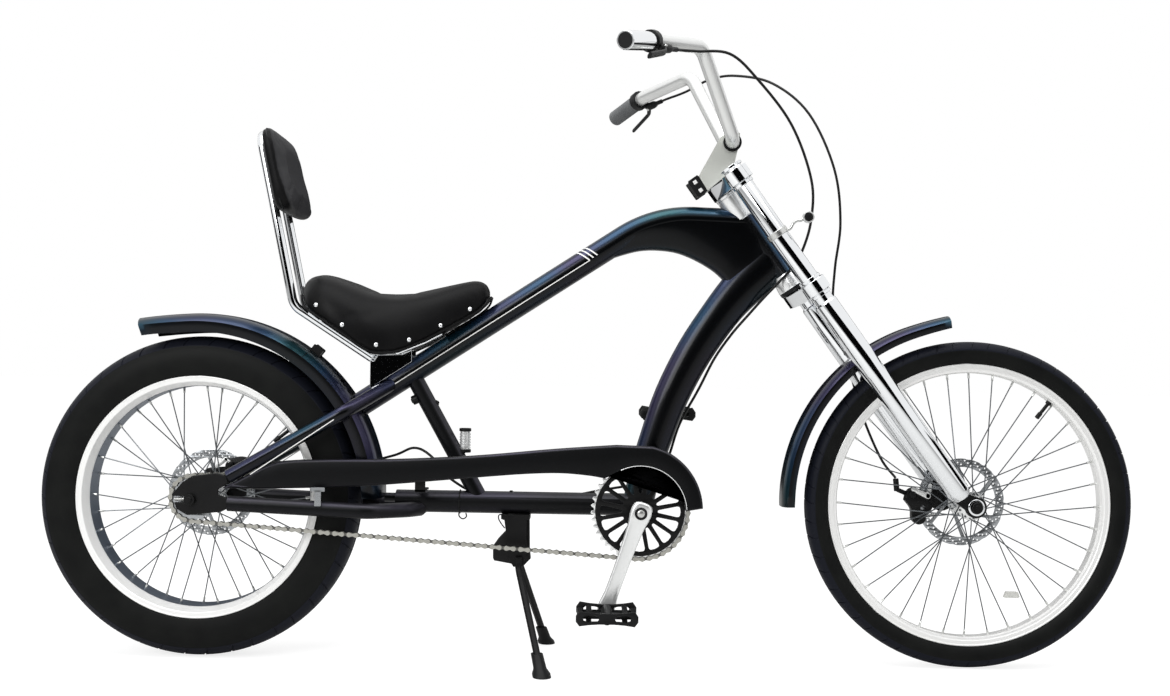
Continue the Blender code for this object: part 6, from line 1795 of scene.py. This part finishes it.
padShape = {
    # rise up the tube and depth ahead of it, round the side of the pad
    "side": ((0.166, 0.0), (0.3, 0.0), (0.3155, 0.008), (0.3125, 0.019), (0.294, 0.0262), (0.23, 0.0278),
             (0.18, 0.033), (0.166, 0.03), (0.16, 0.018)),
    "half": 0.105, "shrink": 0.985, "voxel": 0.0042, "pressure": 2.4, "most": 0.0045, "calm": 6, "piping": 0.0017,
    # rounding of both ends: share of the half width, and share of the section
    "ends": ((1.0, 0.55), (0.98, 0.7), (0.93, 0.83), (0.84, 0.93), (0.7, 0.985), (0.4, 1.0)),
}


backrestBar = {"radius": 0.008, "half": 0.05, "bend": 0.034, "cornerX": -0.526, "top": (-0.5915, 0, 0.936),
               "underEdge": 0.0028, "gap": 0.0003}


def backrest():
    # one bent tube from under the saddle's edge up behind the pad, and back down on the other side
    bar = backrestBar
    slope = math.atan(saddleEdge["slope"])
    lift = bar["radius"] * math.cos(math.pi / 8) + bar["underEdge"] * math.cos(slope) + bar["gap"]
    below = Vector((-math.sin(slope), 0, -math.cos(slope))) * lift
    front = Vector((saddleEdge["x"], 0, saddleEdge["z"])) + below
    corner = Vector((bar["cornerX"], 0, edgeLine(bar["cornerX"] - below.x) + below.z))
    top = Vector(bar["top"])
    side = [front, corner, top]
    path = [mirrored((p.x, bar["half"], p.z), -1) for p in side]
    path += [mirrored((p.x, bar["half"], p.z), 1) for p in reversed(side)]
    made = solid("backrest_tube", tube(roundedPath(path, bar["bend"], 10), bar["radius"], 24), sharp=50)
    dress(made, "root", chrome, "chrome", "backrest_frame")
    upright = (top - corner).normalized()
    ahead = Vector((upright.z, 0, -upright.x))

    def toPad(rise, depth):
        return corner + upright * rise + ahead * (bar["radius"] + bar["gap"] + depth)

    def isHeld(co):
        # the back against the bar, and the seam between the side band and the front panel
        rise, depth = (co - corner).dot(upright), (co - corner).dot(ahead) - bar["radius"] - bar["gap"]
        isInside = 0.172 < rise < 0.3 and abs(co.y) < 0.094
        return depth < 0.002 or 0.0105 < depth < 0.014 and not isInside

    corners = [toPad(*s) for s in padShape["side"] + padShape["side"][:1]]
    outline = smoothPath(corners, 3)[:-1]
    middle = sum(outline, Vector()) / len(outline)
    rings = []
    ends = padShape["ends"]
    for shareY, share in [(-y, s) for y, s in ends] + [(0.0, 1.0)] + list(reversed(ends)):
        aside = Vector((0, shareY * padShape["half"], 0))
        rings.append([middle + (p - middle) * share + aside for p in outline])
    pad = solid("backrest_cushion", skin(rings), sharp=60)
    inflate(pad, padShape, isHeld)
    dress(pad, "root", panelVinyl, "black_leather", "backrest_pad")
    # piping round the pad where its side band meets the front panel
    low, high, wide, depth = 0.1605, 0.3165, padShape["half"] - 0.001, 0.0125
    ring = [(low, -wide * 0.86), (low, wide * 0.86), (low + 0.012, wide), (high - 0.014, wide), (high, wide * 0.84),
            (high, -wide * 0.84), (high - 0.014, -wide), (low + 0.012, -wide)]
    path = roundedPath([toPad(rise, depth) + Vector((0, y, 0)) for rise, y in ring + ring[:2]], 0.01, 5)
    shaped = pad.evaluated_get(bpy.context.evaluated_depsgraph_get())
    path = [at + normal * 0.0002 for hit, at, normal, index in (shaped.closest_point_on_mesh(p) for p in path[1:-1])]
    dress(solid("backrest_piping", tube(path, padShape["piping"], 8, up=ahead)), "root", moulding, "black_leather")


backrest()
print("saddle and backrest made")


# cables

rearCable = {
    "bar": ((0.1345, -0.2135, 1.0565), (0.1443, -0.201, 1.0587), (0.17, -0.19, 1.06), (0.226, -0.172, 1.061),
            (0.2755, -0.142, 1.0277), (0.3412, -0.11, 0.9555), (0.3823, -0.08, 0.8649), (0.3869, -0.058, 0.7973),
            (0.376, -0.036, 0.745)),
    "frame": ((0.3593, -0.0245, 0.7138), (0.338, -0.0285, 0.69), (0.312, -0.025, 0.662), (0.287, -0.012, 0.632),
              (0.2565, 0.0, 0.5945), (0.2262, 0.0, 0.55), (0.199, 0.006, 0.494), (0.166, 0.012, 0.43),
              (0.148, 0.0235, 0.37), (0.127, 0.03, 0.318), (0.08, 0.033, 0.314), (0.03, 0.03, 0.306),
              (-0.06, 0.0255, 0.29), (-0.18, 0.0255, 0.29), (-0.25, 0.034, 0.32), (-0.289, 0.046, 0.361),
              (-0.3216, 0.056, 0.375), (-0.36, 0.061, 0.36), (-0.43, 0.0612, 0.344), (-0.52, 0.0612, 0.342),
              (-0.6108, 0.0612, 0.346)),
}
frontCable = ((0.1345, 0.2135, 1.0565), (0.1443, 0.201, 1.0587), (0.1794, 0.184, 1.0697), (0.2236, 0.165, 1.09),
              (0.271, 0.132, 1.091), (0.3377, 0.1, 1.07), (0.4025, 0.078, 1.0104),
              (0.4484, 0.063, 0.9066), (0.4623, 0.066, 0.808),
              (0.456, 0.078, 0.7246), (0.456, 0.0915, 0.656), (0.47, 0.0945, 0.6), (0.49, 0.0905, 0.53),
              (0.515, 0.086, 0.445), (0.545, 0.066, 0.37), (0.57, 0.052, 0.335))


def cables():
    path = smoothPath(rearCable["bar"] + rearCable["frame"], 8)
    rear = solid("rear_brake_cable", tube(path, 0.0024, 12), sharp=50)
    rear.data.materials.append(cableJacket)
    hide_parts("cable_rear_bar", "cable_rear_frame")
    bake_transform(rear)
    front = solid("front_brake_cable", tube(smoothPath(frontCable, 8), 0.0024, 12), sharp=50)
    dress(front, "steering", cableJacket, "black_plastic", "cable_front")


cables()
print("cables made")


# floor, light and camera

floorShape = {"size": 30, "colour": "#e9e9e8", "seenColour": "#a8a8a8", "seenGlow": 0.8}


def floor():
    # matt white paper: what the camera sees of it glows up to white, and the object's shadow stays
    made, tree = newFinish("pale studio floor")
    path = addNode(tree, "LightPath")
    matt = addNode(tree, "BsdfDiffuse", {"Color": linear(floorShape["colour"])})
    thin = addNode(tree, "BsdfDiffuse", {"Color": linear(floorShape["seenColour"])})
    glow = addNode(tree, "Emission", {"Color": (1, 1, 1, 1), "Strength": floorShape["seenGlow"]})
    both = addNode(tree, "AddShader", {0: thin, 1: glow})
    mix = addNode(tree, "MixShader", {
        0: path.outputs["Is Camera Ray"], 1: matt, 2: both})
    addNode(tree, "OutputMaterial", {"Surface": mix})
    r = floorShape["size"]
    card("studio_floor", [(-r, -r, -0.0005), (r, -r, -0.0005), (r, r, -0.0005), (-r, r, -0.0005)], made)


def card(name, corners, surface):
    mesh = bpy.data.meshes.new(name)
    mesh.from_pydata(corners, [], [(0, 1, 2, 3)])
    mesh.materials.append(surface)
    piece = bpy.data.objects.new(name, mesh)
    scene.collection.objects.link(piece)
    return piece


flags = {"away": 5.0, "wide": 3.4, "low": -0.4, "high": 3.0, "sideAway": 6.0, "sideWide": 2.0, "sideHigh": 2.2,
         "colour": "#0a0a0b"}


def blackFlags():
    # black cloth flags that only reflections see: flat black faces stay black and chrome gets its dark streak
    made, tree = newFinish("black flag cloth")
    cloth = addNode(tree, "BsdfDiffuse", {"Color": linear(flags["colour"])})
    addNode(tree, "OutputMaterial", {"Surface": cloth})
    low, high, wide = flags["low"], flags["high"], flags["wide"]
    for sign, label in ((-1, "front"), (1, "back")):
        y = sign * flags["away"]
        hideButShine(card("flag_" + label, [(-wide, y, low), (wide, y, low), (wide, y, high), (-wide, y, high)], made))
    high, wide = flags["sideHigh"], flags["sideWide"]
    for sign, label in ((-1, "left"), (1, "right")):
        x = sign * flags["sideAway"]
        hideButShine(card("flag_" + label, [(x, -wide, low), (x, wide, low), (x, wide, high), (x, -wide, high)], made))


def hideButShine(piece):
    piece.visible_camera = False
    piece.visible_diffuse = False
    piece.visible_shadow = False
    piece.visible_transmission = False


def world():
    # even white room: dimmer as a light than as a background
    made = bpy.data.worlds.new("studio")
    scene.world = made
    made.use_nodes = True
    tree = made.node_tree
    tree.nodes.clear()
    path = addNode(tree, "LightPath")
    seen = addNode(tree, "Math", {0: path.outputs["Is Camera Ray"], 1: path.outputs["Is Transmission Ray"]},
                   operation="MAXIMUM")
    seen = addNode(tree, "Math", {0: seen, 1: path.outputs["Is Glossy Ray"]}, operation="MAXIMUM")
    strength = addNode(tree, "MapRange", {"Value": seen, "To Min": 0.55, "To Max": 1.0})
    light = addNode(tree, "Background", {"Color": (1, 1, 1, 1), "Strength": strength})
    addNode(tree, "OutputWorld", {"Surface": light})


def lamp(name, at, target, size, power):
    data = bpy.data.lights.new(name, "AREA")
    data.shape = "RECTANGLE"
    data.size, data.size_y = size
    data.energy = power
    made = bpy.data.objects.new(name, data)
    made.location = at
    made.rotation_euler = (Vector(target) - Vector(at)).to_track_quat("-Z", "Y").to_euler()
    scene.collection.objects.link(made)


cameraShape = {"at": (-0.008, -2.4, 0.534), "lens": 40.8, "roll": 1.0, "shift": (0.0, 0.0145)}


def camera():
    data = bpy.data.cameras.new("photo_view")
    data.lens = cameraShape["lens"]
    data.sensor_width = 36
    data.shift_x, data.shift_y = cameraShape["shift"]
    made = bpy.data.objects.new("photo_view", data)
    turn = Matrix.Rotation(math.pi / 2, 4, "X") @ Matrix.Rotation(math.radians(cameraShape["roll"]), 4, "Z")
    made.matrix_world = Matrix.Translation(cameraShape["at"]) @ turn
    scene.collection.objects.link(made)
    scene.camera = made


floor()
blackFlags()
world()
lamp("overhead_soft_box", (0.0, -0.6, 2.6), (0, 0, 0.4), (3.2, 1.6), 45)
lamp("front_soft_box", (-1.6, -2.6, 1.8), (0, 0, 0.5), (1.4, 1.4), 40)
camera()
scene.view_settings.view_transform = "Standard"
print("stage made")
